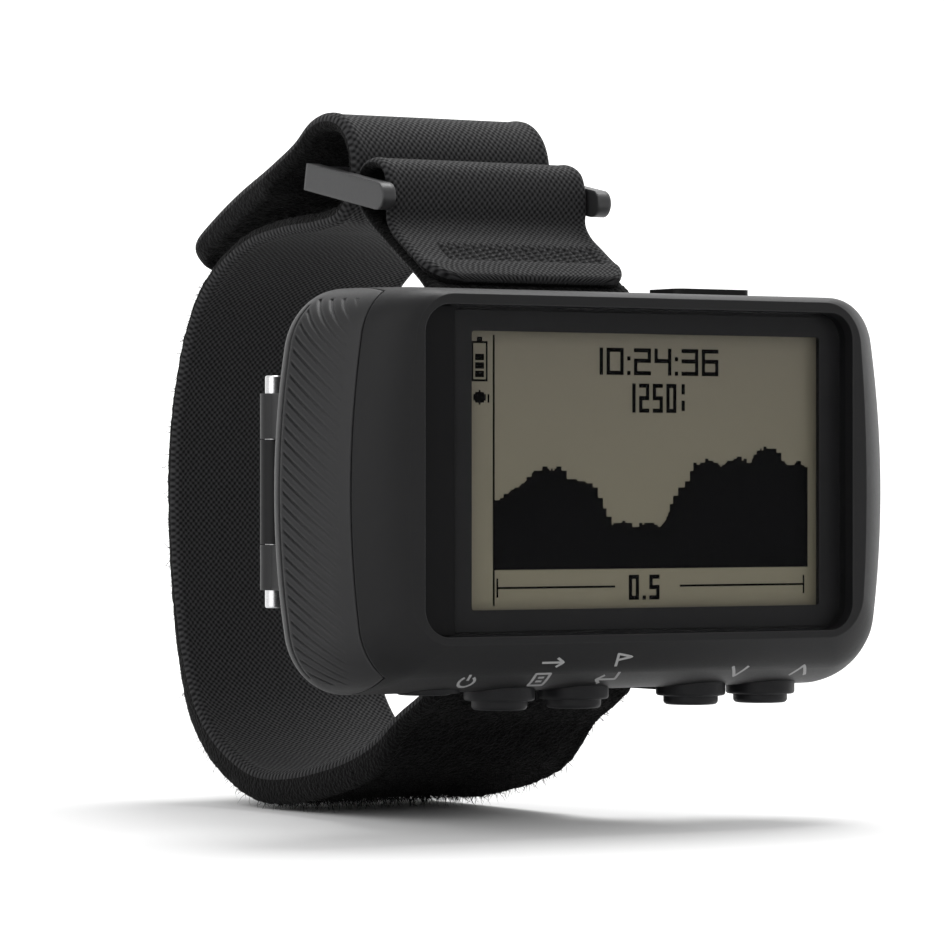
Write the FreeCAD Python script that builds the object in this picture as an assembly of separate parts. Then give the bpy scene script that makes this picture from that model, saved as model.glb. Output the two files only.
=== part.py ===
import FreeCAD, Part
import math
import os

# A wrist-worn satellite navigator on a hook-and-loop strap, laid out as it comes apart on a bench.
# X runs to the right and Z up, seen from the front. Pieces are drawn with Y measured back from the
# front rim; write() then moves them so that the origin is the centre of the flat back of the case.
V = FreeCAD.Vector

# --- Case, mm ---
CASE_WIDTH = 73.8
CASE_HEIGHT = 41.1
CASE_DEPTH = 22.6
WALL = 1.5
SPLIT_DEPTH = 16.4       # where the front and back shells meet
FACE_DEPTH = 3.35        # inside of the front wall
EDGE_DEPTH = 3.7         # crease round the front, where the ribbed side begins
SEAL_WIDTH = 0.8
SEAL_DEPTH = 0.6

# --- Window and display ---
RECESS_SIDE = 26.6       # half width of the recess in the front face
RIM_TOP = 1.8            # width of the front rim above the recess
RIM_BOTTOM = 6.05        # and below it, with room for the key marks
RECESS_CORNER = 2.9
RECESS_DEPTH = 1.2
WINDOW_THICKNESS = 1.0
WINDOW_LEFT = -22.1
ADHESIVE = 0.15
EDGE_GAP = 0.1           # slack round a piece laid in a recess
LCD_WIDTH = 47.1
LCD_HEIGHT = 31.5
LCD_THICKNESS = 1.5
LCD_X = 1.95
VIEW_WIDTH = 44.6        # opening in the front wall over the display
VIEW_HEIGHT = 29.2
FRAME_WALL = 0.95
FRAME_GAP = 0.2          # between the frame round the display and the case
BACKLIGHT_THICKNESS = 1.4

# --- Electronics ---
BOARD_WIDTH = 56.0
BOARD_HEIGHT = 32.5
BOARD_THICKNESS = 1.0
BOARD_X = 2.0
BOARD_Z = 1.5
ANTENNA_SIZE = 10.5
ANTENNA_THICKNESS = 4.0
USB_WIDTH = 7.7
USB_DEPTH = 4.0
USB_GAP = 0.25           # between the socket and the battery tubes
USB_X = 16.4
USB_Y = 13.6
CAP_MARGIN = 1.0         # how far the weather cap overlaps the port all round
CAP_THICKNESS = 0.85

# --- Buttons, in a row along the underside ---
BUTTON_DEPTH = 12.0
BUTTON_RADIUS = 2.9
BUTTON_SLIP = 0.08       # radial slack of a cap in its collar
COLLAR_WALL = 0.7
BUTTON_TRAVEL = 0.5
# name, X, how far the collar stands out, how far the cap stands out of the case
BUTTONS = [
    ("power", -19.2, 0.0, 0.2),
    ("page", -10.0, 1.0, 1.95),
    ("enter", -0.8, 1.0, 1.95),
    ("down", 14.2, 1.0, 1.95),
    ("up", 23.3, 1.0, 1.95),
]

# --- Cells and battery door ---
CELL_RADIUS = 5.25
CELL_LENGTH = 44.5
CELL_SLIP = 0.2
TUBE_WALL = 0.8
TRAY_GAP = 0.85          # between the tubes and the back of the case
DOOR_WIDTH = 8.3         # how much of the left end is door
DOOR_WALL = 1.4
DOOR_GAP = 0.1           # each side of the parting line
DOOR_CORNER = 3.8        # where the door meets the front crease, in from the widest point
RIB_PITCH = 1.3
RIB_WIDTH = 0.3
RIB_DEPTH = 0.36         # at their back ends
RIB_FADE = 2.5           # how far in front of the ribs their depth would reach nothing
RIB_SLOPE = 42.0
RIB_FRONT = 4.9
RIB_BACK = 10.7
CREASE = 0.3             # width and depth of the line behind the ribs
PIN_RADIUS = 0.85
PIN_INSET = 3.4          # hinge axis, in from the widest point of the case
PIN_DEPTH = 18.0
PIN_LENGTH = 23.6
KNUCKLE_RADIUS = 1.35
MIDDLE_KNUCKLE = 10.6
OUTER_KNUCKLE = 4.6
KNUCKLE_GAP = 0.08
PIN_SLIP = 0.05

# --- Strap ---
STRAP_WIDTH = 25.4
STRAP_THICKNESS = 1.7
FOLD_THICKNESS = 0.95    # the pressed, welded end round the ring
HOOK_THICKNESS = 0.8
BAR_RADIUS = 1.0
BAR_DEPTH = 22.9
BAR_INSET = 1.55         # bar axes, in from the top and bottom of the case
LUG_WALL = 2.4
LUG_GAP = 0.6
LUG_LENGTH = 5.0
LUG_ROUND = 2.1
RING_BAR = 1.35          # radius of the ring's two cross bars
RING_SIDE = 1.6          # width of its side bars
RING_SLACK = 0.25        # each side of the strap
DRAWN_HEIGHT = 41.1      # height of the case that the strap's points were set round

FAR = 99.0               # beyond the case on every side
HALF_WIDTH = CASE_WIDTH / 2
HALF_HEIGHT = CASE_HEIGHT / 2
PIN_X = -(HALF_WIDTH - PIN_INSET)
DOOR_X = -(HALF_WIDTH - DOOR_WIDTH)
SIDE_ROUND = 88.0        # the bulge of the two ends, seen from the front

RECESS_TOP = HALF_HEIGHT - RIM_TOP
RECESS_BOTTOM = RIM_BOTTOM - HALF_HEIGHT
LCD_Z = HALF_HEIGHT - WALL - FRAME_GAP - FRAME_WALL - LCD_HEIGHT / 2
BAR_HEIGHT = HALF_HEIGHT - BAR_INSET

FRAME_BACK = FACE_DEPTH + LCD_THICKNESS + BACKLIGHT_THICKNESS + 0.2
BOARD_FRONT = FRAME_BACK + 0.15
BOARD_BACK = BOARD_FRONT + BOARD_THICKNESS
TUBE_RADIUS = CELL_RADIUS + CELL_SLIP + TUBE_WALL
CELL_DEPTH = CASE_DEPTH - WALL - TRAY_GAP - TUBE_RADIUS   # Y of the cell axes
CELL_SPREAD = TUBE_RADIUS - TUBE_WALL / 2         # half the distance between the cells
USB_HEIGHT = HALF_HEIGHT - WALL - EDGE_GAP - USB_GAP - CELL_SPREAD - TUBE_RADIUS
CELL_END = DOOR_X - 0.9                           # the cells stand out of their tubes
TRAY_FLOOR = CELL_END + CELL_LENGTH + 2.4
BRIDGE_X = CELL_END - 1.6                         # contact bridge inside the door
BRIDGE_DEPTH = CELL_DEPTH - 0.9
COLLAR_RADIUS = BUTTON_RADIUS + BUTTON_SLIP + COLLAR_WALL
COLLAR_TOP = -HALF_HEIGHT + WALL + 0.1            # inner end of the button collars
KEY_FLANGE = COLLAR_TOP + 0.2                     # underside of a button's flange
STEM_TOP = KEY_FLANGE + 2.0
SWITCH_LOW = STEM_TOP + BUTTON_TRAVEL + 0.05
SWITCH_HEIGHT = 1.6
TRIM_STEP = 0.25
HOOK_SIDE = -1           # the hook patch is on the side of the free end that faces the loop

# Cross-sections of the case from front to back: depth, then how far the side, the top and the
# bottom lie inside the overall size, the corner radius and the radius of the bulging end.
FRONT_SECTIONS = [
    (0.0, 8.5, 0.75, 5.25, 4.6, 160.0),
    (1.2, 6.3, 0.35, 3.85, 5.0, 120.0),
    (2.5, 4.8, 0.15, 2.65, 5.4, 100.0),
    (EDGE_DEPTH, 3.8, 0.05, 1.95, 5.8, SIDE_ROUND),
]
SIDE_SECTIONS = [
    FRONT_SECTIONS[-1],
    (7.2, 1.7, 0.0, 0.75, 6.6, SIDE_ROUND),
    (10.6, 0.1, 0.0, 0.1, 7.2, SIDE_ROUND),
]
WAIST_SECTIONS = [
    SIDE_SECTIONS[-1],
    (11.6, 0.0, 0.0, 0.0, 7.2, SIDE_ROUND),
    (12.6, 0.3, 0.0, 0.0, 7.2, SIDE_ROUND),
    (14.0, 1.7, 0.0, 0.0, 7.2, SIDE_ROUND),
]
BACK_SECTIONS = [
    WAIST_SECTIONS[-1],
    (CASE_DEPTH - 6.2, 3.4, 0.25, 0.25, 7.0, SIDE_ROUND),
    (CASE_DEPTH - 4.6, 4.5, 0.95, 0.95, 6.6, SIDE_ROUND),
    (CASE_DEPTH - 3.0, 5.6, 3.55, 3.55, 5.8, SIDE_ROUND),
    (CASE_DEPTH - 1.5, 7.3, 7.5, 7.5, 4.6, SIDE_ROUND),
    (CASE_DEPTH, 9.5, 12.0, 12.0, 3.4, SIDE_ROUND),
]

# Centre line of the strap, (Y, Z), from its welded end round the ring, down behind the case and
# round the wrist, and up through the ring to its free end.
RING_FOLD = [
    (20.5, 22.05), (22.85, 23.65), (25.85, 25.55), (28.7, 27.5), (29.65, 28.9), (29.55, 30.8),
    (29.75, 32.8), (30.5, 34.3), (32.4, 35.05), (34.5, 34.6), (35.6, 32.9), (35.2, 30.9),
    (33.7, 29.2), (30.3, 26.9), (26.5, 24.5), (22.8, 22.1),
]
BACK_RUN = [
    (20.9, 20.3), (20.85, 18.4), (21.9, 15.2), (23.2, 11.5), (23.75, 7.5),
    (23.75, 0.0),
    (23.75, -7.5), (23.2, -11.5), (21.9, -15.2), (20.85, -18.4), (20.9, -20.3),
]
WRIST_LOOP = [
    (22.9, -21.8), (27.8, -24.3), (32.0, -26.9), (37.5, -29.0), (44.0, -30.5), (50.5, -31.5),
    (57.2, -31.6), (62.6, -30.1), (67.0, -27.8), (70.6, -24.4), (73.2, -19.4), (75.0, -13.0),
    (76.0, -5.5), (76.2, 0.0), (75.9, 6.0), (74.7, 12.0), (72.6, 17.6), (69.6, 21.9),
    (65.0, 25.4), (58.8, 27.9), (51.0, 29.0), (44.2, 29.3), (39.6, 30.1),
]
FREE_END = [
    (37.5, 32.4), (36.9, 35.2), (37.7, 37.7), (39.6, 39.4), (42.6, 40.0), (45.6, 39.4),
    (48.8, 37.4), (54.5, 34.9), (61.0, 32.4), (66.6, 29.8), (70.4, 27.6), (72.3, 25.6),
]


def fitted(y, z):
    """A strap point moved up or down with the top and bottom of the case."""
    spread = (CASE_HEIGHT - DRAWN_HEIGHT) / 2
    return y, z + spread * max(-1.0, min(1.0, z / 15))


STRAP_LINE = [fitted(y, z) for y, z in RING_FOLD + BACK_RUN + WRIST_LOOP + FREE_END]
RING_FRONT = fitted(31.9, 31.8)
RING_REAR = fitted(42.0, 33.75)
RING_NOSE = fitted(28.7, 31.2)


def write(name, shape):
    """Move a piece into the origin's frame and save it."""
    placed = shape.copy()
    placed.translate(V(0, -CASE_DEPTH, 0))
    placed.exportStep("parts/" + name + ".step")
    print(name, len(placed.Solids), "solids,", round(placed.Volume, 2), "mm3,", placed.isValid())


def block(x0, x1, y0, y1, z0, z1):
    return Part.makeBox(x1 - x0, y1 - y0, z1 - z0, V(x0, y0, z0))


def rod(radius, start, axis, length):
    return Part.makeCylinder(radius, length, start, axis)


def plate(x0, x1, z0, z1, radii, y0, y1):
    """A flat plate facing front, with a radius for each corner: lower left, then anticlockwise."""
    corners = [(x0, z0), (x1, z0), (x1, z1), (x0, z1)]
    ways = [(1, 0), (0, 1), (-1, 0), (0, -1)]
    edges = []
    for i, (x, z) in enumerate(corners):
        r = radii[i]
        into, out = ways[i - 1], ways[i]
        a = V(x - into[0] * r, y0, z - into[1] * r)
        b = V(x + out[0] * r, y0, z + out[1] * r)
        if r > 0:
            k = r * (1 - math.sqrt(0.5))
            m = V(x + (out[0] - into[0]) * k, y0, z + (out[1] - into[1]) * k)
            edges.append(Part.Arc(a, m, b).toShape())
        after, step = corners[(i + 1) % 4], radii[(i + 1) % 4]
        c = V(after[0] - out[0] * step, y0, after[1] - out[1] * step)
        edges.append(Part.makeLine(b, c))
    return Part.Face(Part.Wire(edges)).extrude(V(0, y1 - y0, 0))


def mirrored(point):
    return V(-point.x, point.y, point.z)


def section(row, inset):
    """One closed outline of the case at its depth, drawn inset inside the surface."""
    depth, side, top, bottom, corner, bulge = row
    w = HALF_WIDTH - side - inset
    t = HALF_HEIGHT - top - inset
    b = HALF_HEIGHT - bottom - inset
    r = max(corner - inset, 0.5)
    big = bulge - inset
    ends = []
    for height, sign in ((t, 1), (b, -1)):
        z = height - r
        x = (w - big) + math.sqrt((big - r) ** 2 - z ** 2)
        reach = math.hypot(x - (w - big), z)
        on_side = V((w - big) + (x - (w - big)) * big / reach, depth, sign * z * big / reach)
        half = math.atan2(z, x - (w - big))
        turn = (half + math.pi / 2) / 2
        middle = V(x + r * math.cos(turn), depth, sign * (z + r * math.sin(turn)))
        ends.append((V(x, depth, sign * height), middle, on_side))
    (top_flat, top_mid, top_side), (low_flat, low_mid, low_side) = ends
    edges = [
        Part.makeLine(mirrored(top_flat), top_flat),
        Part.Arc(top_flat, top_mid, top_side).toShape(),
        Part.Arc(top_side, V(w, depth, 0), low_side).toShape(),
        Part.Arc(low_side, low_mid, low_flat).toShape(),
        Part.makeLine(low_flat, mirrored(low_flat)),
        Part.Arc(mirrored(low_flat), mirrored(low_mid), mirrored(low_side)).toShape(),
        Part.Arc(mirrored(low_side), V(-w, depth, 0), mirrored(top_side)).toShape(),
        Part.Arc(mirrored(top_side), mirrored(top_mid), mirrored(top_flat)).toShape(),
    ]
    return Part.Wire(edges)


def case_form(inset):
    """The whole case as one solid, inset inside its real surface."""
    runs = []
    for rows in (FRONT_SECTIONS, SIDE_SECTIONS, WAIST_SECTIONS, BACK_SECTIONS):
        runs.append(Part.makeLoft([section(row, inset) for row in rows], True, False))
    return runs[0].multiFuse(runs[1:]).removeSplitter()


def door_zone(gap):
    """The left end of the case that swings away: inside an arc about the hinge axis."""
    reach = math.hypot(HALF_WIDTH - DOOR_CORNER + PIN_X, PIN_DEPTH - EDGE_DEPTH)
    arc = rod(reach + gap, V(PIN_X, PIN_DEPTH, -HALF_HEIGHT - 5), V(0, 0, 1), CASE_HEIGHT + 10)
    span = block(-CASE_WIDTH, DOOR_X + gap, 0, PIN_DEPTH - 0.8 + gap, -HALF_HEIGHT - 5, HALF_HEIGHT + 5)
    return arc.common(span)


def knuckle_zone(radius, z0, z1):
    return rod(radius, V(PIN_X, PIN_DEPTH, z0), V(0, 0, 1), z1 - z0)


OUTER_SPANS = [
    (MIDDLE_KNUCKLE / 2 + KNUCKLE_GAP, MIDDLE_KNUCKLE / 2 + KNUCKLE_GAP + OUTER_KNUCKLE),
    (-MIDDLE_KNUCKLE / 2 - KNUCKLE_GAP - OUTER_KNUCKLE, -MIDDLE_KNUCKLE / 2 - KNUCKLE_GAP),
]
SCREW_SPOTS = [
    (DOOR_X + 3.7, HALF_HEIGHT - 5.7), (DOOR_X + 3.7, 5.7 - HALF_HEIGHT),
    (HALF_WIDTH - 7.9, HALF_HEIGHT - 5.7), (HALF_WIDTH - 7.9, 5.7 - HALF_HEIGHT),
]
SCREW_RADIUS = 0.9
SCREW_HEAD = 1.7
BOSS_RADIUS = 2.2
BOSS_FRONT = 8.6
WEB_HALF = 0.6           # half the thickness of the web that ties a pillar to the wall
SCREW_SEAT = 18.2


def bosses(y0, y1, radius):
    """Screw pillars, each tied to the nearest wall by a web."""
    posts = []
    for x, z in SCREW_SPOTS:
        posts.append(rod(radius, V(x, y0, z), V(0, 1, 0), y1 - y0))
        low, high = sorted((z, math.copysign(HALF_HEIGHT, z)))
        posts.append(block(x - WEB_HALF, x + WEB_HALF, y0, y1, low, high))
    return posts


def front_shell(outer, inner):
    shell = outer.common(block(-FAR, FAR, -1, SPLIT_DEPTH, -FAR, FAR))
    hollow = inner.common(block(-FAR, FAR, FACE_DEPTH, SPLIT_DEPTH + 1, -FAR, FAR))
    shell = shell.cut(hollow)
    webs = outer.common(Part.makeCompound(bosses(BOSS_FRONT, SPLIT_DEPTH, BOSS_RADIUS)))
    shell = shell.fuse(webs)
    cuts = [
        plate(-RECESS_SIDE, RECESS_SIDE, RECESS_BOTTOM, RECESS_TOP, [RECESS_CORNER] * 4,
              -1, RECESS_DEPTH + WINDOW_THICKNESS + ADHESIVE),
        view_opening(0, FACE_DEPTH + 1),
        door_zone(DOOR_GAP),
        usb_port(0),
    ]
    for x, z in SCREW_SPOTS:
        cuts.append(rod(SCREW_RADIUS, V(x, BOSS_FRONT + 0.8, z), V(0, 1, 0), SPLIT_DEPTH))
    for name, x, collar, cap in BUTTONS:
        low = -HALF_HEIGHT - 1
        cuts.append(rod(BUTTON_RADIUS + BUTTON_SLIP + COLLAR_WALL, V(x, BUTTON_DEPTH, low),
                        V(0, 0, 1), WALL + 2.1))
    return shell.cut(Part.makeCompound(cuts))


def back_shell(outer, inner):
    back = block(-FAR, FAR, SPLIT_DEPTH, FAR, -FAR, FAR)
    shell = outer.common(back)
    forward = outer.copy()
    forward.translate(V(0, -WALL, 0))
    hollow = inner.common(forward).common(block(-FAR, FAR, SPLIT_DEPTH - 1, CASE_DEPTH - WALL, -FAR, FAR))
    shell = shell.cut(hollow)
    posts = Part.makeCompound(bosses(SPLIT_DEPTH, CASE_DEPTH, BOSS_RADIUS + 0.6))
    shell = shell.fuse(outer.common(posts).common(back))
    lugs = []
    inside = STRAP_WIDTH / 2 + LUG_GAP
    for side in (-1, 1):
        for up in (-1, 1):
            x0, x1 = sorted((side * inside, side * (inside + LUG_WALL)))
            z0, z1 = sorted((up * (BAR_HEIGHT - LUG_LENGTH), up * (BAR_HEIGHT + LUG_ROUND)))
            lugs.append(block(x0, x1, SPLIT_DEPTH + 1, BAR_DEPTH, z0, z1))
            lugs.append(rod(LUG_ROUND, V(x0, BAR_DEPTH, up * BAR_HEIGHT), V(1, 0, 0), x1 - x0))
    leaf = block(PIN_X, PIN_X + 2.6, PIN_DEPTH - 0.7, PIN_DEPTH + KNUCKLE_RADIUS - 0.05,
                 -MIDDLE_KNUCKLE / 2, MIDDLE_KNUCKLE / 2)
    barrel = knuckle_zone(KNUCKLE_RADIUS, -MIDDLE_KNUCKLE / 2, MIDDLE_KNUCKLE / 2)
    free = hollow.common(back)
    shell = shell.cut(door_zone(DOOR_GAP))
    shell = shell.multiFuse([lug.cut(free) for lug in lugs] + [leaf, barrel])
    cuts = [knuckle_zone(PIN_RADIUS, -HALF_HEIGHT, HALF_HEIGHT)]
    for z0, z1 in OUTER_SPANS:
        cuts.append(knuckle_zone(KNUCKLE_RADIUS + 0.25, z0 - KNUCKLE_GAP, z1 + KNUCKLE_GAP))
    for up in (-1, 1):
        cuts.append(rod(BAR_RADIUS, V(-20, BAR_DEPTH, up * BAR_HEIGHT), V(1, 0, 0), 40))
    for x, z in SCREW_SPOTS:
        cuts.append(rod(SCREW_RADIUS + 0.1, V(x, SPLIT_DEPTH - 1, z), V(0, 1, 0), 8))
        cuts.append(rod(SCREW_HEAD + 0.15, V(x, SCREW_SEAT, z), V(0, 1, 0), 8))
    return shell.cut(Part.makeCompound(cuts))


def door_ribs(outer):
    """Fine slanting grooves over the side of the door, deepest at their back ends."""
    fade = math.degrees(math.atan(RIB_DEPTH / (RIB_BACK - RIB_FRONT + RIB_FADE)))
    turned = outer.copy()
    turned.rotate(V(-HALF_WIDTH, RIB_FRONT - RIB_FADE, 0), V(0, 0, 1), -fade)
    high = HALF_HEIGHT - RIM_TOP + 0.6
    field = block(-HALF_WIDTH - 1, DOOR_X - 1, RIB_FRONT, RIB_BACK, -high, high)
    bars = []
    count = int(CASE_HEIGHT / RIB_PITCH) + 4
    for i in range(count):
        z = (i - (count - 1) / 2) * RIB_PITCH
        bar = block(-HALF_WIDTH - 2, DOOR_X, -12, 12, -RIB_WIDTH / 2, RIB_WIDTH / 2)
        bar.rotate(V(0, 0, 0), V(1, 0, 0), RIB_SLOPE)
        bar.translate(V(0, (RIB_FRONT + RIB_BACK) / 2, z))
        bars.append(bar)
    return outer.cut(turned).common(field).common(Part.makeCompound(bars))


def door_crease(outer):
    """The fine line round the side of the door, behind the ribs."""
    moved = outer.copy()
    moved.translate(V(CREASE, 0, 0))
    high = HALF_HEIGHT - RIM_TOP
    band = block(-HALF_WIDTH - 1, DOOR_X - 1, RIB_BACK + CREASE, RIB_BACK + 2 * CREASE, -high, high)
    return outer.cut(moved).common(band)


def battery_door(outer):
    skin = outer.common(door_zone(-DOOR_GAP)).cut(case_form(DOOR_WALL))
    barrels = []
    for z0, z1 in OUTER_SPANS:
        barrels.append(knuckle_zone(KNUCKLE_RADIUS, z0, z1))
        barrels.append(block(PIN_X - 0.9, PIN_X + 1.1, PIN_DEPTH - 2.8, PIN_DEPTH, z0, z1))
    for side in (-1, 1):
        z = side * (CELL_SPREAD + 1.5)
        post = block(-HALF_WIDTH, BRIDGE_X - 0.4, BRIDGE_DEPTH - 0.6, BRIDGE_DEPTH + 0.6, z - 0.6, z + 0.6)
        barrels.append(post.common(outer))
    door = skin.multiFuse(barrels).cut(door_ribs(outer)).cut(door_crease(outer))
    cuts = [knuckle_zone(PIN_RADIUS + PIN_SLIP, -HALF_HEIGHT, HALF_HEIGHT),
            knuckle_zone(KNUCKLE_RADIUS + 0.25, -MIDDLE_KNUCKLE / 2 - KNUCKLE_GAP,
                         MIDDLE_KNUCKLE / 2 + KNUCKLE_GAP)]
    return door.cut(Part.makeCompound(cuts))


def usb_port(slack):
    """The hole in the top of the case over the data port."""
    return block(USB_X - USB_WIDTH / 2 + slack, USB_X + USB_WIDTH / 2 - slack,
                 USB_Y - USB_DEPTH / 2 + slack, USB_Y + USB_DEPTH / 2 - slack,
                 HALF_HEIGHT - WALL - 1, HALF_HEIGHT + 1)


def seal_zone(gap):
    """The groove along the joint of the two shells."""
    middle = WALL / 2
    ring = case_form(middle - SEAL_WIDTH / 2 + gap).cut(case_form(middle + SEAL_WIDTH / 2 - gap))
    return ring.common(block(DOOR_X + 1, FAR, SPLIT_DEPTH - SEAL_DEPTH, SPLIT_DEPTH, -FAR, FAR))


def window():
    return plate(WINDOW_LEFT, RECESS_SIDE - EDGE_GAP, RECESS_BOTTOM + EDGE_GAP, RECESS_TOP - EDGE_GAP,
                 [0, RECESS_CORNER - EDGE_GAP, RECESS_CORNER - EDGE_GAP, 0],
                 RECESS_DEPTH, RECESS_DEPTH + WINDOW_THICKNESS)


def view_opening(y0, y1):
    return plate(LCD_X - VIEW_WIDTH / 2, LCD_X + VIEW_WIDTH / 2, LCD_Z - VIEW_HEIGHT / 2,
                 LCD_Z + VIEW_HEIGHT / 2, [0.8] * 4, y0, y1)


def window_adhesive():
    y0 = RECESS_DEPTH + WINDOW_THICKNESS
    border = EDGE_GAP + 0.3
    sheet = plate(WINDOW_LEFT + border, RECESS_SIDE - border, RECESS_BOTTOM + border,
                  RECESS_TOP - border, [0, RECESS_CORNER - border, RECESS_CORNER - border, 0],
                  y0, y0 + ADHESIVE)
    return sheet.cut(view_opening(y0 - 1, y0 + 1))


def side_trim():
    """The blank strip to the left of the window, a little lower than the glass."""
    corner = RECESS_CORNER - EDGE_GAP
    return plate(-RECESS_SIDE + EDGE_GAP, WINDOW_LEFT - EDGE_GAP, RECESS_BOTTOM + EDGE_GAP,
                 RECESS_TOP - EDGE_GAP, [corner, 0, 0, corner],
                 RECESS_DEPTH + TRIM_STEP, RECESS_DEPTH + WINDOW_THICKNESS + ADHESIVE)


def slab(x, z, width, height, y0, thickness, corner):
    """A plate facing front, placed by its centre."""
    return plate(x - width / 2, x + width / 2, z - height / 2, z + height / 2, [corner] * 4,
                 y0, y0 + thickness)


def lcd_frame():
    frame = slab(LCD_X, LCD_Z, LCD_WIDTH + 2 * FRAME_WALL, LCD_HEIGHT + 2 * FRAME_WALL, FACE_DEPTH,
                 FRAME_BACK - FACE_DEPTH, 1.0)
    return frame.cut(slab(LCD_X, LCD_Z, LCD_WIDTH + 2 * EDGE_GAP, LCD_HEIGHT + 2 * EDGE_GAP,
                          FACE_DEPTH - 1, 9, 0.3))


def board_parts():
    """The main board and what is soldered to its back."""
    antenna_x = BOARD_X + (BOARD_WIDTH - ANTENNA_SIZE - 1) / 2
    can_x = antenna_x + 0.8
    can = slab(can_x, -6.3, 9.0, 11.0, BOARD_BACK, 1.8, 0.4)
    return {
        "main_board": slab(BOARD_X, BOARD_Z, BOARD_WIDTH, BOARD_HEIGHT, BOARD_FRONT, BOARD_THICKNESS, 1.5),
        "patch_antenna": slab(antenna_x, 5.8, ANTENNA_SIZE, ANTENNA_SIZE, BOARD_BACK,
                              ANTENNA_THICKNESS, 0.4),
        "shield_can": can.cut(slab(can_x, -6.3, 8.6, 10.6, BOARD_BACK - 1, 2.6, 0.3)),
        "pressure_sensor": slab(BOARD_X - 3, 15.2, 3.0, 3.0, BOARD_BACK, 1.1, 0.2),
    }


def usb_socket():
    top = HALF_HEIGHT - WALL - EDGE_GAP
    low = top - USB_HEIGHT
    x0, x1 = USB_X - USB_WIDTH / 2, USB_X + USB_WIDTH / 2
    y0, y1 = USB_Y - USB_DEPTH / 2, USB_Y + USB_DEPTH / 2
    shell = block(x0, x1, y0, y1, low, top)
    hollow = block(x0 + 0.4, x1 - 0.4, y0 + 0.4, y1 - 0.4, low + 0.8, top + 1)
    tongue = block(USB_X - 2.4, USB_X + 2.4, USB_Y - 0.35, USB_Y + 0.35, low + 0.6, top - 0.6)
    return shell.cut(hollow).fuse(tongue)


def usb_cap():
    """The rubber weather cap: a flap on the top of the case with a short plug under it."""
    z0 = HALF_HEIGHT + 0.02
    flap = block(USB_X - USB_WIDTH / 2 - CAP_MARGIN, USB_X + USB_WIDTH / 2 + CAP_MARGIN,
                 USB_Y - USB_DEPTH / 2 - CAP_MARGIN, USB_Y + USB_DEPTH / 2 + CAP_MARGIN,
                 z0, z0 + CAP_THICKNESS)
    upright = [e for e in flap.Edges if abs(e.BoundBox.ZLength - CAP_THICKNESS) < 1e-6]
    flap = flap.makeFillet(1.2, upright)
    plug = block(USB_X - USB_WIDTH / 2 + 0.35, USB_X + USB_WIDTH / 2 - 0.35,
                 USB_Y - USB_DEPTH / 2 + 0.6, USB_Y + USB_DEPTH / 2 - 0.35, z0 - 0.9, z0 + 0.1)
    return flap.fuse(plug).removeSplitter()


def key_board():
    low = SWITCH_LOW + SWITCH_HEIGHT
    return block(BUTTONS[0][1] - 3.2, BUTTONS[-1][1] + 3.0, BUTTON_DEPTH - 2.5, BUTTON_DEPTH + 2.5,
                 low, low + 0.6)


def key_switches():
    switches = []
    for name, x, collar, cap in BUTTONS:
        body = block(x - 2.2, x + 2.2, BUTTON_DEPTH - 2.2, BUTTON_DEPTH + 2.2, SWITCH_LOW + 0.5,
                     SWITCH_LOW + SWITCH_HEIGHT)
        dome = rod(1.1, V(x, BUTTON_DEPTH, SWITCH_LOW), V(0, 0, 1), 0.6)
        switches.append(body.fuse(dome))
    return Part.makeCompound(switches)


def lowest_rim(shape, low):
    return [e for e in shape.Edges if e.Closed and abs(e.BoundBox.ZMax - low) < 1e-6]


def button_collars():
    collars = []
    for name, x, proud, cap in BUTTONS:
        low = -HALF_HEIGHT - proud
        ring = rod(COLLAR_RADIUS, V(x, BUTTON_DEPTH, low), V(0, 0, 1), COLLAR_TOP - low)
        if proud > 0:
            ring = ring.makeFillet(0.3, lowest_rim(ring, low))
        ring = ring.cut(rod(BUTTON_RADIUS + BUTTON_SLIP, V(x, BUTTON_DEPTH, low - 1), V(0, 0, 1), 9))
        collars.append(ring)
    return Part.makeCompound(collars)


def button(x, proud):
    """A cap with a rounded end, the flange that keeps it in and the stem that works its switch."""
    low = -HALF_HEIGHT - proud
    cap = rod(BUTTON_RADIUS, V(x, BUTTON_DEPTH, low), V(0, 0, 1), KEY_FLANGE - low)
    cap = cap.makeFillet(0.45, lowest_rim(cap, low))
    flange = rod(BUTTON_RADIUS + 0.5, V(x, BUTTON_DEPTH, KEY_FLANGE), V(0, 0, 1), 0.6)
    stem = rod(1.2, V(x, BUTTON_DEPTH, KEY_FLANGE), V(0, 0, 1), STEM_TOP - KEY_FLANGE)
    return cap.multiFuse([flange, stem]).removeSplitter()


def behind_door(x0, x1):
    """A slice of the room inside the case walls, with a little slack, between two places in X."""
    form = case_form(WALL + EDGE_GAP).common(block(x0, x1, FACE_DEPTH + EDGE_GAP, CASE_DEPTH, -FAR, FAR))
    forward = form.copy()
    forward.translate(V(0, -WALL, 0))
    return form.common(forward)


def battery_tray():
    """Two tubes side by side with a bulkhead that closes the case behind the door."""
    tubes = []
    bores = []
    for side in (-1, 1):
        z = side * CELL_SPREAD
        tubes.append(rod(TUBE_RADIUS, V(DOOR_X + 0.3, CELL_DEPTH, z), V(1, 0, 0),
                         TRAY_FLOOR + 1.0 - DOOR_X - 0.3))
        bores.append(rod(CELL_RADIUS + CELL_SLIP, V(DOOR_X - 1, CELL_DEPTH, z), V(1, 0, 0),
                         TRAY_FLOOR - DOOR_X + 1))
    bulkhead = behind_door(DOOR_X + 0.2, DOOR_X + 1.3)
    return tubes[0].multiFuse([tubes[1], bulkhead]).cut(Part.makeCompound(bores)).removeSplitter()


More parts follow.
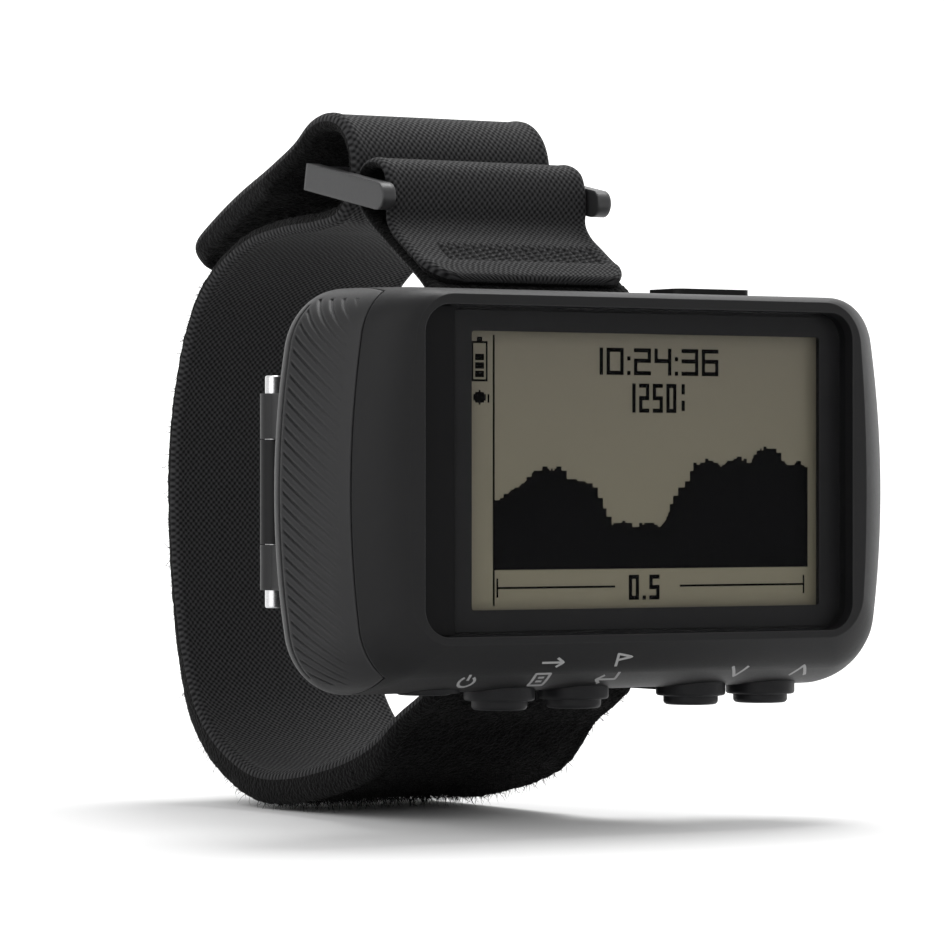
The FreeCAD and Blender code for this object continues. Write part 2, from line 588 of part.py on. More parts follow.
def cell(side):
    """One AAA cell with its raised positive end; the two lie head to tail."""
    z = side * CELL_SPREAD
    nub = 0.9
    start = CELL_END if side < 0 else CELL_END + nub
    can = rod(CELL_RADIUS, V(start, CELL_DEPTH, z), V(1, 0, 0), CELL_LENGTH - nub)
    rims = [e for e in can.Edges if e.Closed and e.BoundBox.XLength < 1e-6]
    can = can.makeFillet(0.35, rims)
    tip = CELL_END + CELL_LENGTH - nub - 0.1 if side < 0 else CELL_END
    return can.fuse(rod(1.8, V(tip, CELL_DEPTH, z), V(1, 0, 0), nub + 0.1))


def coil(start, length, radius, wire, turns):
    """A compression spring lying along X, as one swept solid."""
    helix = Part.makeHelix(length / turns, length, radius)
    profile = Part.Wire(Part.makeCircle(wire, V(radius, 0, 0), V(0, 1, 0)))
    body = Part.Wire(helix.Edges).makePipeShell([profile], True, True)
    body.rotate(V(0, 0, 0), V(0, 1, 0), 90)
    body.translate(start)
    return body


def tray_contacts():
    """The contacts at the bottom of the tubes: a stud for one cell, a spring for the other."""
    end = CELL_END + CELL_LENGTH
    plates = []
    for side in (-1, 1):
        plates.append(rod(4.2, V(TRAY_FLOOR - 0.4, CELL_DEPTH, side * CELL_SPREAD), V(1, 0, 0), 0.4))
    stud = rod(1.7, V(end + 0.05, CELL_DEPTH, -CELL_SPREAD), V(1, 0, 0), TRAY_FLOOR - 0.2 - end)
    spring = coil(V(end + 0.25, CELL_DEPTH, CELL_SPREAD), TRAY_FLOOR - end - 0.9, 2.6, 0.2, 2)
    return Part.makeCompound([plates[0].fuse(stud), plates[1], spring])


def door_contact():
    """The sprung bridge inside the door that joins the two cells."""
    y, x = BRIDGE_DEPTH, BRIDGE_X
    bridge = block(x - 0.4, x, y - 1.7, y + 1.7, -CELL_SPREAD - 2.6, CELL_SPREAD + 2.6)
    springs = [coil(V(x + 0.25, y, side * CELL_SPREAD), 1.0, 1.3, 0.2, 2) for side in (-1, 1)]
    return Part.makeCompound([bridge] + springs)


def door_seal():
    """The soft ring on the bulkhead round the mouths of the two tubes."""
    rings = []
    for radius in (TUBE_RADIUS + 0.9, TUBE_RADIUS):
        pair = [rod(radius, V(DOOR_X - 0.6, CELL_DEPTH, side * CELL_SPREAD), V(1, 0, 0), 0.8)
                for side in (-1, 1)]
        rings.append(pair[0].fuse(pair[1]))
    return rings[0].cut(rings[1]).common(behind_door(DOOR_X - 0.6, DOOR_X + 0.2))


def case_screws():
    screws = []
    for x, z in SCREW_SPOTS:
        start = BOSS_FRONT + 1.2
        shaft = rod(SCREW_RADIUS, V(x, start, z), V(0, 1, 0), SCREW_SEAT - start)
        head = rod(SCREW_HEAD, V(x, SCREW_SEAT, z), V(0, 1, 0), 1.1)
        slot = block(x - 1.1, x + 1.1, SCREW_SEAT + 0.5, SCREW_SEAT + 2, z - 0.25, z + 0.25)
        cross = block(x - 0.25, x + 0.25, SCREW_SEAT + 0.5, SCREW_SEAT + 2, z - 1.1, z + 1.1)
        screws.append(shaft.fuse(head).cut(slot.fuse(cross)))
    return Part.makeCompound(screws)


def hinge_pin():
    pin = knuckle_zone(PIN_RADIUS, -PIN_LENGTH / 2, PIN_LENGTH / 2)
    ends = [e for e in pin.Edges if e.Closed and e.BoundBox.ZLength < 1e-6]
    return pin.makeFillet(0.2, ends)


def strap_bars():
    span = STRAP_WIDTH / 2 + LUG_GAP + LUG_WALL - 0.3
    bars = [rod(BAR_RADIUS, V(-span, BAR_DEPTH, up * BAR_HEIGHT), V(1, 0, 0), 2 * span) for up in (-1, 1)]
    return Part.makeCompound(bars)


def strap_curve():
    curve = Part.BSplineCurve()
    curve.interpolate([V(0, y, z) for y, z in STRAP_LINE])
    return curve


def strap_band(curve, first, last, thickness, lift=0.0, width=STRAP_WIDTH):
    """A flat length of webbing along the strap's centre line, between two of its points."""
    marks = [curve.parameter(V(0, *STRAP_LINE[i])) for i in range(first, last + 1)]
    steps = 3
    values = [a + (b - a) * k / steps for a, b in zip(marks, marks[1:]) for k in range(steps)]
    values.append(marks[-1])
    sides = []
    for shift in (lift - thickness / 2, lift + thickness / 2):
        points = []
        for u in values:
            along = curve.tangent(u)[0]
            points.append(curve.value(u) + V(0, -along.z, along.y) * shift)
        line = Part.BSplineCurve()
        line.interpolate(points)
        sides.append((line.toShape(), points))
    (low, p), (high, q) = sides
    wire = Part.Wire([low, Part.makeLine(p[-1], q[-1]), high, Part.makeLine(q[0], p[0])])
    band = Part.Face(wire).extrude(V(width, 0, 0))
    band.translate(V(-width / 2, 0, 0))
    return band


def strap_ring():
    """A flat plastic loop: two round cross bars joined by side bars, round in front, square behind."""
    inside = STRAP_WIDTH / 2 + RING_SLACK
    bars = []
    for y, z in (RING_FRONT, RING_REAR):
        bars.append(rod(RING_BAR, V(-inside - 1, y, z), V(1, 0, 0), 2 * inside + 2))
    nose = V(0, *RING_NOSE)
    along = (V(0, *RING_REAR) - nose).normalize()
    tail = V(0, *RING_REAR) + along * RING_BAR
    across = V(0, -along.z, along.y) * (RING_BAR + 0.1)
    corners = [nose - across, tail - across, tail + across, nose + across]
    edges = [
        Part.makeLine(corners[0], corners[1]),
        Part.makeLine(corners[1], corners[2]),
        Part.makeLine(corners[2], corners[3]),
        Part.Arc(corners[3], nose - along * RING_BAR, corners[0]).toShape(),
    ]
    left = Part.Face(Part.Wire(edges)).extrude(V(RING_SIDE, 0, 0))
    right = left.copy()
    left.translate(V(-inside - RING_SIDE, 0, 0))
    right.translate(V(inside, 0, 0))
    return bars[0].multiFuse([bars[1], left, right]).removeSplitter()


def strap_pieces():
    curve = strap_curve()
    fold = len(RING_FOLD)
    back = fold + len(BACK_RUN) - 1
    loop = fold + len(BACK_RUN) + len(WRIST_LOOP)
    last = len(STRAP_LINE) - 1
    lift = HOOK_SIDE * (STRAP_THICKNESS + HOOK_THICKNESS) / 2
    return {
        "strap_ring_end": strap_band(curve, 0, fold, FOLD_THICKNESS),
        "strap_back_run": strap_band(curve, fold, back, STRAP_THICKNESS),
        "strap_loop": strap_band(curve, back, loop, STRAP_THICKNESS),
        "strap_free_end": strap_band(curve, loop, last, STRAP_THICKNESS),
        "hook_patch": strap_band(curve, last - 4, last, HOOK_THICKNESS, lift, STRAP_WIDTH - 3),
    }


def main():
    os.makedirs("parts", exist_ok=True)
    outer = case_form(0)
    inner = case_form(WALL)
    pieces = {
        "front_shell": front_shell(outer, inner).cut(seal_zone(0)),
        "back_shell": back_shell(outer, inner),
        "battery_door": battery_door(outer),
        "case_seal": seal_zone(0.05),
        "side_trim": side_trim(),
        "window": window(),
        "window_adhesive": window_adhesive(),
        "lcd_panel": slab(LCD_X, LCD_Z, LCD_WIDTH, LCD_HEIGHT, FACE_DEPTH, LCD_THICKNESS, 0.4),
        "backlight": slab(LCD_X, LCD_Z, LCD_WIDTH - 0.6, LCD_HEIGHT - 0.6,
                          FACE_DEPTH + LCD_THICKNESS + 0.05, BACKLIGHT_THICKNESS, 0.4),
        "lcd_frame": lcd_frame(),
        "usb_socket": usb_socket(),
        "usb_cap": usb_cap(),
        "key_board": key_board(),
        "key_switches": key_switches(),
        "button_collars": button_collars(),
        "battery_tray": battery_tray(),
        "tray_contacts": tray_contacts(),
        "cell_upper": cell(1),
        "cell_lower": cell(-1),
        "door_contact": door_contact(),
        "door_seal": door_seal(),
        "case_screws": case_screws(),
        "hinge_pin": hinge_pin(),
        "strap_bars": strap_bars(),
        "strap_ring": strap_ring(),
    }
    for name, x, collar, cap in BUTTONS:
        pieces["button_" + name] = button(x, cap)
    pieces.update(board_parts())
    pieces.update(strap_pieces())
    for name, shape in pieces.items():
        write(name, shape)


main()
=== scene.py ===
# %% [markdown]
# # Dressing a wrist navigator
# A pilot's wrist navigator is a black moulded case with a small grey-green display, worn on a
# strap of hook-and-loop webbing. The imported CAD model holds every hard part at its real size, so
# this lesson never moves one: it gives each a finish, and builds what CAD is poor at, which is
# woven cloth, looped pile, printing and the picture on the display.

# %% Load the frame
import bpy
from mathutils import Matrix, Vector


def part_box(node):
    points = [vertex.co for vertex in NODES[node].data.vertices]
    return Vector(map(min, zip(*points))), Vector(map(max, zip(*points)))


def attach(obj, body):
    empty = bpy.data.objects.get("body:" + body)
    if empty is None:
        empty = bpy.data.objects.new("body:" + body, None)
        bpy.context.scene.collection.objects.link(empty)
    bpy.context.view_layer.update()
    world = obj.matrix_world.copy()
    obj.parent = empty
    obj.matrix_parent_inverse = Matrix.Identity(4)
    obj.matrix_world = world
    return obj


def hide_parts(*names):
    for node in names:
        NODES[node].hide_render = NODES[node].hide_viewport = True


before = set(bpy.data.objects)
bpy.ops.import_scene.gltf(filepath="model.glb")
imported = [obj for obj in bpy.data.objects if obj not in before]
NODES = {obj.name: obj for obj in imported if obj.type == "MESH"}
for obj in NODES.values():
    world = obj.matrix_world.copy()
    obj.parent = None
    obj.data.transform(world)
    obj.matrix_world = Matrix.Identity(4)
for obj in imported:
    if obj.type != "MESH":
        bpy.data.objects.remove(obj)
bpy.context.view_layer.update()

# %% [markdown]
# ## Units and two short helpers
# Blender works in metres and the object is drawn in millimetres, so one constant converts them.
# Colours are picked as sRGB hex, as on a paint card, and shaders want linear light, so one
# function converts those. One more function adds a shader node with its settings and links.

# %% Units, colours and nodes
import bpy
import math
import random
import numpy as np
from mathutils import Vector
from mathutils.bvhtree import BVHTree

MM = 0.001


def linear(hex_colour):
    """An sRGB hex colour as the linear RGBA that shaders take."""
    shares = [int(hex_colour[i:i + 2], 16) / 255 for i in (1, 3, 5)]
    return tuple(c / 12.92 if c <= 0.04045 else ((c + 0.055) / 1.055) ** 2.4 for c in shares) + (1.0,)


def add(tree, kind, inputs=(), **settings):
    """Adds a node, sets its properties, and fills or links its sockets."""
    made = tree.nodes.new(kind)
    for name, value in settings.items():
        setattr(made, name, value)
    for socket, value in dict(inputs).items():
        if isinstance(value, bpy.types.NodeSocket):
            tree.links.new(value, made.inputs[socket])
        else:
            made.inputs[socket].default_value = value
    return made


def new_material(name, **sockets):
    """A material with one Principled shader, its constant numbers set on the shader's own sockets."""
    finish = bpy.data.materials.new(name)
    finish.use_nodes = True
    shader = finish.node_tree.nodes["Principled BSDF"]
    for socket, value in sockets.items():
        shader.inputs[socket.replace("_", " ")].default_value = value
    return finish, finish.node_tree, shader


# %% [markdown]
# ## Where things are
# Everything is placed from the boxes of the CAD pieces. The strap's centre line is the one list
# that the frame can't give, because a solid keeps only its skin, so the strap's designer's points
# are repeated here: (Y, Z) in millimetres, Y measured back from the front rim of the case.

# %% Measures from the frame
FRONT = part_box("front_shell")[0].y
WINDOW_LOW, WINDOW_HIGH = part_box("window")
LCD_LOW, LCD_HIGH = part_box("lcd_panel")
LCD_CENTRE = (LCD_LOW + LCD_HIGH) / 2
STRAP_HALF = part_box("strap_loop")[1].x
RING_FOLD = [
    (20.5, 22.05), (22.85, 23.65), (25.85, 25.55), (28.7, 27.5), (29.65, 28.9), (29.55, 30.8),
    (29.75, 32.8), (30.5, 34.3), (32.4, 35.05), (34.5, 34.6), (35.6, 32.9), (35.2, 30.9),
    (33.7, 29.2), (30.3, 26.9), (26.5, 24.5), (22.8, 22.1),
]
BACK_RUN = [
    (20.9, 20.3), (20.85, 18.4), (21.9, 15.2), (23.2, 11.5), (23.75, 7.5),
    (23.75, 0.0),
    (23.75, -7.5), (23.2, -11.5), (21.9, -15.2), (20.85, -18.4), (20.9, -20.3),
]
WRIST_LOOP = [
    (22.9, -21.8), (27.8, -24.3), (32.0, -26.9), (37.5, -29.0), (44.0, -30.5), (50.5, -31.5),
    (57.2, -31.6), (62.6, -30.1), (67.0, -27.8), (70.6, -24.4), (73.2, -19.4), (75.0, -13.0),
    (76.0, -5.5), (76.2, 0.0), (75.9, 6.0), (74.7, 12.0), (72.6, 17.6), (69.6, 21.9),
    (65.0, 25.4), (58.8, 27.9), (51.0, 29.0), (44.2, 29.3), (39.6, 30.1),
]
FREE_END = [
    (37.5, 32.4), (36.9, 35.2), (37.7, 37.7), (39.6, 39.4), (42.6, 40.0), (45.6, 39.4),
    (48.8, 37.4), (54.5, 34.9), (61.0, 32.4), (66.6, 29.8), (70.4, 27.6), (72.3, 25.6),
]
print("strap half width", round(STRAP_HALF / MM, 2), "mm; front rim at Y", round(FRONT / MM, 2), "mm")

# %% [markdown]
# ## The room, the lights and the camera
# Black plastic shows only what it reflects, so the set is a white sweep: a pale floor that curves
# up behind the object with no corner. Large soft lights give long, smooth highlights. The camera
# looks level from the front left, with a long lens, as a catalogue picture does.

# %% Sweep, lights and camera
FLOOR_DROP = 2.5 * MM        # the pile hangs below the strap's solid


SWEEP_BEND = 0.5             # radius of the curve from floor to wall, in metres
SWEEP_STEPS = 16
SWEEP_FLAT = 1.4             # how far back the curve starts
WALL_TOP = 3.5
SWEEP_HALF = 3.0
GLOW_NEAR, GLOW_FAR = 0.16, 0.60    # the sheet is unlit from behind near the object, for its shadow
GLOW_MOST = 0.65


def sweep(low):
    """A floor that curves up into a back wall, as one smooth sheet."""
    away = Vector((0.543, 0.840, 0.0)).normalized()
    across = Vector((away.y, -away.x, 0.0))
    outline = [(-2.0, 0.0), (-0.8, 0.0), (0.0, 0.0), (0.8, 0.0), (SWEEP_FLAT, 0.0)]
    outline += [(SWEEP_FLAT + SWEEP_BEND * math.sin(a), SWEEP_BEND * (1 - math.cos(a)))
                for a in (math.pi / 2 * k / SWEEP_STEPS for k in range(1, SWEEP_STEPS + 1))]
    outline.append((SWEEP_FLAT + SWEEP_BEND, WALL_TOP))
    verts, faces = [], []
    for along, up in outline:
        for side in (-SWEEP_HALF, SWEEP_HALF):
            verts.append(away * along + across * side + Vector((0, 0, low + up)))
    for i in range(len(outline) - 1):
        faces.append((2 * i, 2 * i + 1, 2 * i + 3, 2 * i + 2))
    mesh = bpy.data.meshes.new("studio_sweep")
    mesh.from_pydata(verts, [], faces)
    mesh.polygons.foreach_set("use_smooth", [True] * len(faces))
    floor = bpy.data.objects.new("studio_sweep", mesh)
    bpy.context.scene.collection.objects.link(floor)
    paper, tree, shader = new_material("backlit white acrylic sweep", Roughness=0.9)
    shader.inputs["Base Color"].default_value = linear("#dedede")
    shader.inputs["Emission Color"].default_value = linear("#ffffff")
    shader.inputs["Specular IOR Level"].default_value = 0.0
    place = add(tree, "ShaderNodeTexCoord").outputs["Object"]
    far = add(tree, "ShaderNodeVectorMath", {0: place}, operation="LENGTH").outputs["Value"]
    glow = add(tree, "ShaderNodeMapRange", {"Value": far, "From Min": GLOW_NEAR, "From Max": GLOW_FAR,
                                            "To Min": 0.0, "To Max": GLOW_MOST})
    tree.links.new(glow.outputs["Result"], shader.inputs["Emission Strength"])
    mesh.materials.append(paper)


AIM = Vector((0.0, 0.01, 0.0))


def soft_light(name, place, size, power):
    """A square area light turned towards the object."""
    lamp = bpy.data.lights.new(name, "AREA")
    lamp.size = size
    lamp.energy = power
    light = bpy.data.objects.new(name, lamp)
    light.location = place
    light.rotation_euler = (AIM - light.location).to_track_quat("-Z", "Y").to_euler()
    bpy.context.scene.collection.objects.link(light)


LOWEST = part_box("strap_loop")[0].z - FLOOR_DROP
sweep(LOWEST)
soft_light("key_left", Vector((-0.72, -0.36, 0.36)), 0.85, 3.2)
soft_light("overhead", Vector((0.22, 0.12, 0.72)), 0.4, 5.0)
soft_light("rim_right", Vector((0.70, 0.10, 0.15)), 0.35, 0.6)
world = bpy.data.worlds.new("white_room")
world.use_nodes = True
world.node_tree.nodes["Background"].inputs["Color"].default_value = (1.0, 1.0, 1.0, 1.0)
world.node_tree.nodes["Background"].inputs["Strength"].default_value = 0.80
bpy.context.scene.world = world
bpy.context.scene.view_settings.view_transform = "Standard"

lens = bpy.data.cameras.new("catalogue_lens")
lens.lens = 187.2
lens.sensor_width = 36.0
lens.shift_y = 0.011
lens.clip_start = 0.05
lens.clip_end = 20.0
camera = bpy.data.objects.new("camera", lens)
camera.location = (-0.2889, -0.4139 + FRONT, 0.0007)
camera.rotation_euler = Vector((0.5432, 0.8396, 0.0)).to_track_quat("-Z", "Y").to_euler()
bpy.context.scene.collection.objects.link(camera)
bpy.context.scene.camera = camera
print("floor at", round(LOWEST / MM, 2), "mm")

# %% [markdown]
# ## Moulded ABS and its relations
# The case is injection moulded ABS with a fine spark-eroded texture, which scatters light a
# little and hides fingerprints: a dark grey, roughness near a half, IOR 1.53, and a grain finer
# than a quarter of a millimetre. A Bevel node rounds the shading at each edge, because a moulded
# edge is never knife sharp, and a slow noise keeps wide faces from looking like one flat fill.
# The same recipe with other numbers gives the door, the trim, the tray and the rubber keys.

# %% Moulded plastics and rubbers
SLOW_NOISE = 9 * MM          # wide drifts of tone, about a thumbnail across
MOTTLE = 0.12
GLOSS_SPREAD = 0.06


def moulded(name, colour, roughness, ior, grain_mm, relief_mm, edge_mm=0.2, painted_edge_highlight=None, **sockets):
    """A moulded plastic or rubber: grain, soft edges, perhaps a painted highlight along its edges,
    uneven tone and gloss.
    """
    finish, tree, shader = new_material(name, IOR=ior, **sockets)
    place = add(tree, "ShaderNodeTexCoord").outputs["Object"]
    grain = add(tree, "ShaderNodeTexNoise", {"Vector": place, "Scale": 1 / (grain_mm * MM),
                                             "Detail": 3.0})
    slow = add(tree, "ShaderNodeTexNoise", {"Vector": place, "Scale": 1 / SLOW_NOISE, "Detail": 4.0})
    base = linear(colour)
    light = tuple(c * (1 + MOTTLE) for c in base[:3]) + (1.0,)
    dark = tuple(c * (1 - MOTTLE) for c in base[:3]) + (1.0,)
    tone = add(tree, "ShaderNodeMix", {"Factor": slow.outputs["Fac"], 6: dark, 7: light},
               data_type="RGBA")
    gloss = add(tree, "ShaderNodeMapRange", {"Value": grain.outputs["Fac"],
                                             "To Min": roughness - GLOSS_SPREAD,
                                             "To Max": roughness + GLOSS_SPREAD})
    rounded = add(tree, "ShaderNodeBevel", {"Radius": edge_mm * MM}, samples=4)
    bump = add(tree, "ShaderNodeBump", {"Height": grain.outputs["Fac"], "Distance": relief_mm * MM,
                                        "Strength": 0.6, "Normal": rounded.outputs["Normal"]})
    # Painted highlight: near an edge, where the rounded shading normal turns from the true one, the
    # colour is mixed towards a paler tone.
    if painted_edge_highlight:
        straight = add(tree, "ShaderNodeNewGeometry").outputs["Normal"]
        turned = add(tree, "ShaderNodeVectorMath", {0: rounded.outputs["Normal"], 1: straight},
                     operation="DOT_PRODUCT")
        near_edge = add(tree, "ShaderNodeMapRange", {"Value": turned.outputs["Value"], "From Min": 0.99,
                                                     "From Max": 0.86})
        tone = add(tree, "ShaderNodeMix", {"Factor": near_edge.outputs["Result"], 6: tone.outputs[2],
                                           7: linear(painted_edge_highlight)}, data_type="RGBA")
    tree.links.new(tone.outputs[2], shader.inputs["Base Color"])
    tree.links.new(gloss.outputs["Result"], shader.inputs["Roughness"])
    tree.links.new(bump.outputs["Normal"], shader.inputs["Normal"])
    return finish


# The case and the door get a paler colour painted along their edges, as a painted highlight.
CASE_ABS = moulded("moulded ABS, spark textured", "#101011", 0.48, 1.53, 0.22, 0.010, painted_edge_highlight="#252526",
                   Specular_IOR_Level=0.17)
# Painted light: the door's base colour is lighter than the case's ABS, standing in for light on the left
# side of the case.
DOOR_ABS = moulded("moulded ABS, ribbed door", "#19191a", 0.46, 1.53, 0.22, 0.008, edge_mm=0.4,
                   painted_edge_highlight="#303031", Specular_IOR_Level=0.26)
TRIM_ABS = moulded("moulded ABS, satin trim", "#0a0a0b", 0.42, 1.53, 0.30, 0.004,
                   Specular_IOR_Level=0.07)
TRAY_ABS = moulded("glass-filled nylon", "#141414", 0.6, 1.53, 0.30, 0.015, Specular_IOR_Level=0.25)
RING_ACETAL = moulded("moulded acetal", "#272728", 0.42, 1.48, 0.30, 0.006, edge_mm=0.5)
KEY_RUBBER = moulded("moulded silicone rubber", "#131315", 0.5, 1.43, 0.18, 0.006,
                     Specular_IOR_Level=0.26)
SEAL_RUBBER = moulded("black silicone seal", "#0c0c0c", 0.62, 1.43, 0.20, 0.006,
                      Specular_IOR_Level=0.3)
print("seven moulded finishes made")

# %% [markdown]
# ## Metals, board and cell jackets
# Small hardware keeps the default metal IOR. The hinge pin is ground stainless rod, so its
# roughness varies along fine rings; the screws are blackened. The circuit board is glass
# laminate under solder mask, and each cell wears a printed film jacket.

# %% Metals and inner parts
def metal(name, colour, roughness, streak_mm, stretch=(1.0, 1.0, 12.0)):
    """A metal whose gloss varies along the marks that its tool left."""
    finish, tree, shader = new_material(name, Metallic=1.0)
    place = add(tree, "ShaderNodeTexCoord").outputs["Object"]
    along = add(tree, "ShaderNodeMapping", {"Vector": place, "Scale": stretch})
    marks = add(tree, "ShaderNodeTexNoise", {"Vector": along.outputs["Vector"],
                                             "Scale": 1 / (streak_mm * MM), "Detail": 2.0})
    gloss = add(tree, "ShaderNodeMapRange", {"Value": marks.outputs["Fac"], "To Min": roughness - 0.08,
                                             "To Max": roughness + 0.1})
    bump = add(tree, "ShaderNodeBump", {"Height": marks.outputs["Fac"], "Distance": 0.004 * MM,
                                        "Strength": 0.5})
    base = linear(colour)
    worn = tuple(c * 0.8 for c in base[:3]) + (1.0,)
    tone = add(tree, "ShaderNodeMix", {"Factor": marks.outputs["Fac"], 6: worn, 7: base},
               data_type="RGBA")
    tree.links.new(tone.outputs[2], shader.inputs["Base Color"])
    tree.links.new(gloss.outputs["Result"], shader.inputs["Roughness"])
    tree.links.new(bump.outputs["Normal"], shader.inputs["Normal"])
    return finish


PIN_STEEL = metal("ground stainless steel", "#d9d9da", 0.28, 0.3)
SCREW_STEEL = metal("blackened steel", "#3a3a3c", 0.4, 0.2, (1.0, 1.0, 1.0))
SPRING_TIN = metal("tinned spring steel", "#c4c2bc", 0.35, 0.4, (1.0, 1.0, 1.0))
BOARD = moulded("solder mask on glass laminate", "#123d24", 0.35, 1.5, 0.4, 0.006)
CERAMIC = moulded("fired ceramic", "#b9ad92", 0.5, 1.6, 0.2, 0.008)
GUIDE = moulded("milky acrylic", "#dcdcd8", 0.35, 1.49, 0.5, 0.003)
JACKET = moulded("printed film jacket", "#303238", 0.25, 1.5, 1.2, 0.003)
TAPE = moulded("black foam tape", "#0b0b0b", 0.8, 1.5, 0.15, 0.02)

# %% [markdown]
# ## Giving each CAD piece its finish
# A table of finish to pieces is easier to check than a line per piece. Each node gets one slot.

# %% Finishes on the CAD pieces
FINISHES = [
    (CASE_ABS, ["front_shell", "back_shell"]),
    (DOOR_ABS, ["battery_door"]),
    (TRIM_ABS, ["side_trim"]),
    (TRAY_ABS, ["battery_tray", "lcd_frame"]),
    (RING_ACETAL, ["strap_ring"]),
    (KEY_RUBBER, ["button_collars", "button_power", "button_page", "button_enter", "button_down",
                  "button_up"]),
    (SEAL_RUBBER, ["usb_cap", "case_seal", "door_seal"]),
    (PIN_STEEL, ["hinge_pin", "strap_bars"]),
    (SCREW_STEEL, ["case_screws"]),
    (SPRING_TIN, ["tray_contacts", "door_contact", "shield_can", "pressure_sensor", "usb_socket",
                  "key_switches"]),
    (BOARD, ["main_board", "key_board"]),
    (CERAMIC, ["patch_antenna"]),
    (GUIDE, ["backlight"]),
    (JACKET, ["cell_upper", "cell_lower"]),
    (TAPE, ["window_adhesive"]),
]


def dress(name, finish):
    """The piece wears one finish over all of it."""
    mesh = NODES[name].data
    mesh.materials.clear()
    mesh.materials.append(finish)


for finish, names in FINISHES:
    for name in names:
        dress(name, finish)
print("finishes on", sum(len(names) for finish, names in FINISHES), "pieces")

# %% [markdown]
# ## The window and its printed border
# The window is clear acrylic with black ink screened on its back, all round the display. Ink
# behind the sheet looks deep, so the border is its own thin layer inside the window's thickness,
# and the sheet itself is almost clear: an alpha near a tenth keeps a little of its gloss.

# %% Window sheet and ink border
def clear_sheet():
    """Clear acrylic whose gloss varies a little, as a wiped surface's does."""
    finish, tree, shader = new_material("clear acrylic sheet", IOR=1.49, Alpha=0.10,
                                        Specular_IOR_Level=0.12)
    shader.inputs["Base Color"].default_value = linear("#101010")
    place = add(tree, "ShaderNodeTexCoord").outputs["Object"]
    haze = add(tree, "ShaderNodeTexNoise", {"Vector": place, "Scale": 1 / (6 * MM), "Detail": 2.0})
    gloss = add(tree, "ShaderNodeMapRange", {"Value": haze.outputs["Fac"], "To Min": 0.04,
                                             "To Max": 0.09})
    tree.links.new(gloss.outputs["Result"], shader.inputs["Roughness"])
    return finish


def piece(name, verts, faces, finish, body, smooth=False):
    """A mesh from its points and faces, finished, riding on a body."""
    mesh = bpy.data.meshes.new(name)
    mesh.from_pydata([tuple(v) for v in verts], [], faces)
    mesh.validate()
    mesh.materials.append(finish)
    mesh.polygons.foreach_set("use_smooth", [smooth] * len(mesh.polygons))
    mesh.update()
    made = bpy.data.objects.new(name, mesh)
    bpy.context.scene.collection.objects.link(made)
    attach(made, body)
    return made


def rounded_outline(x0, x1, z0, z1, radii, steps=8):
    """Points round a rectangle whose corners have the given radii: lower left first, anticlockwise."""
    centres = [(x0, z0, 1, 1), (x1, z0, -1, 1), (x1, z1, -1, -1), (x0, z1, 1, -1)]
    points = []
    for i, (x, z, sx, sz) in enumerate(centres):
        r = radii[i]
        start = math.pi + i * math.pi / 2
        for k in range(steps + 1):
            turn = start + math.pi / 2 * k / steps
            points.append((x + sx * r + r * math.cos(turn), z + sz * r + r * math.sin(turn)))
    return points


def framed_plate(outer, inner, y_front, y_back):
    """A flat frame between two outlines with the same number of points."""
    n = len(outer)
    verts = [(x, y, z) for y in (y_front, y_back) for line in (outer, inner) for x, z in line]
    faces = []
    for i in range(n):
        j = (i + 1) % n
        faces.append((i, j, n + j, n + i))
        faces.append((2 * n + j, 2 * n + i, 3 * n + i, 3 * n + j))
        faces.append((i, 2 * n + i, 2 * n + j, j))
        faces.append((n + j, 3 * n + j, 3 * n + i, n + i))
    return verts, faces


VIEW_WIDTH, VIEW_HEIGHT = 42.8 * MM, 27.4 * MM      # the dots of the display
VIEW_LEFT = LCD_CENTRE.x - VIEW_WIDTH / 2
VIEW_BASE = LCD_CENTRE.z - VIEW_HEIGHT / 2
BORDER = 0.35 * MM
THIN_EDGE = 0.01             # a printed layer is too thin to have a rounded edge
INK = moulded("screened black ink", "#151516", 0.4, 1.5, 0.2, 0.001, edge_mm=THIN_EDGE,
              Specular_IOR_Level=0.12)
verts, faces = framed_plate(
    rounded_outline(WINDOW_LOW.x + BORDER / 2, WINDOW_HIGH.x - BORDER, WINDOW_LOW.z + BORDER,
                    WINDOW_HIGH.z - BORDER, [0.1 * MM, 2.4 * MM, 2.4 * MM, 0.1 * MM]),
    rounded_outline(VIEW_LEFT - BORDER, VIEW_LEFT + VIEW_WIDTH + BORDER, VIEW_BASE - BORDER,
                    VIEW_BASE + VIEW_HEIGHT + BORDER, [0.3 * MM] * 4),
    WINDOW_HIGH.y - 0.12 * MM, WINDOW_HIGH.y - 0.04 * MM)
piece("window_border", verts, faces, INK, "case")
dress("window", clear_sheet())
print("the border leaves a view of", round((VIEW_WIDTH + 2 * BORDER) / MM, 1), "mm")

# %% [markdown]
# ## The display
# A reflective display of this kind is a sheet of dark dots over a grey-green polariser, 200 dots
# across and 128 up. The picture is drawn on such a grid of dots, then each patch of dark dots
# becomes one flat tile a hair in front of the glass, so it stays crisp from any distance. It shows
# a clock, a height, the outline of some hills and a scale bar. Only digits are used.

# %% The dots of the picture
DOTS_WIDE, DOTS_HIGH = 200, 128
HILLS_LEFT = 15
HILLS_FOOT = 111
HILLS_WIDE = DOTS_WIDE - HILLS_LEFT - 1
dots = np.zeros((DOTS_HIGH, DOTS_WIDE), bool)       # row 0 is the top
SEGMENTS = {"0": "abcdef", "1": "bc", "2": "abged", "3": "abgcd", "4": "fgbc", "5": "afgcd",
            "6": "afgedc", "7": "abc", "8": "abcdefg", "9": "abcdfg"}


def fill(left, top, width, height):
    dots[top:top + height, left:left + width] = True


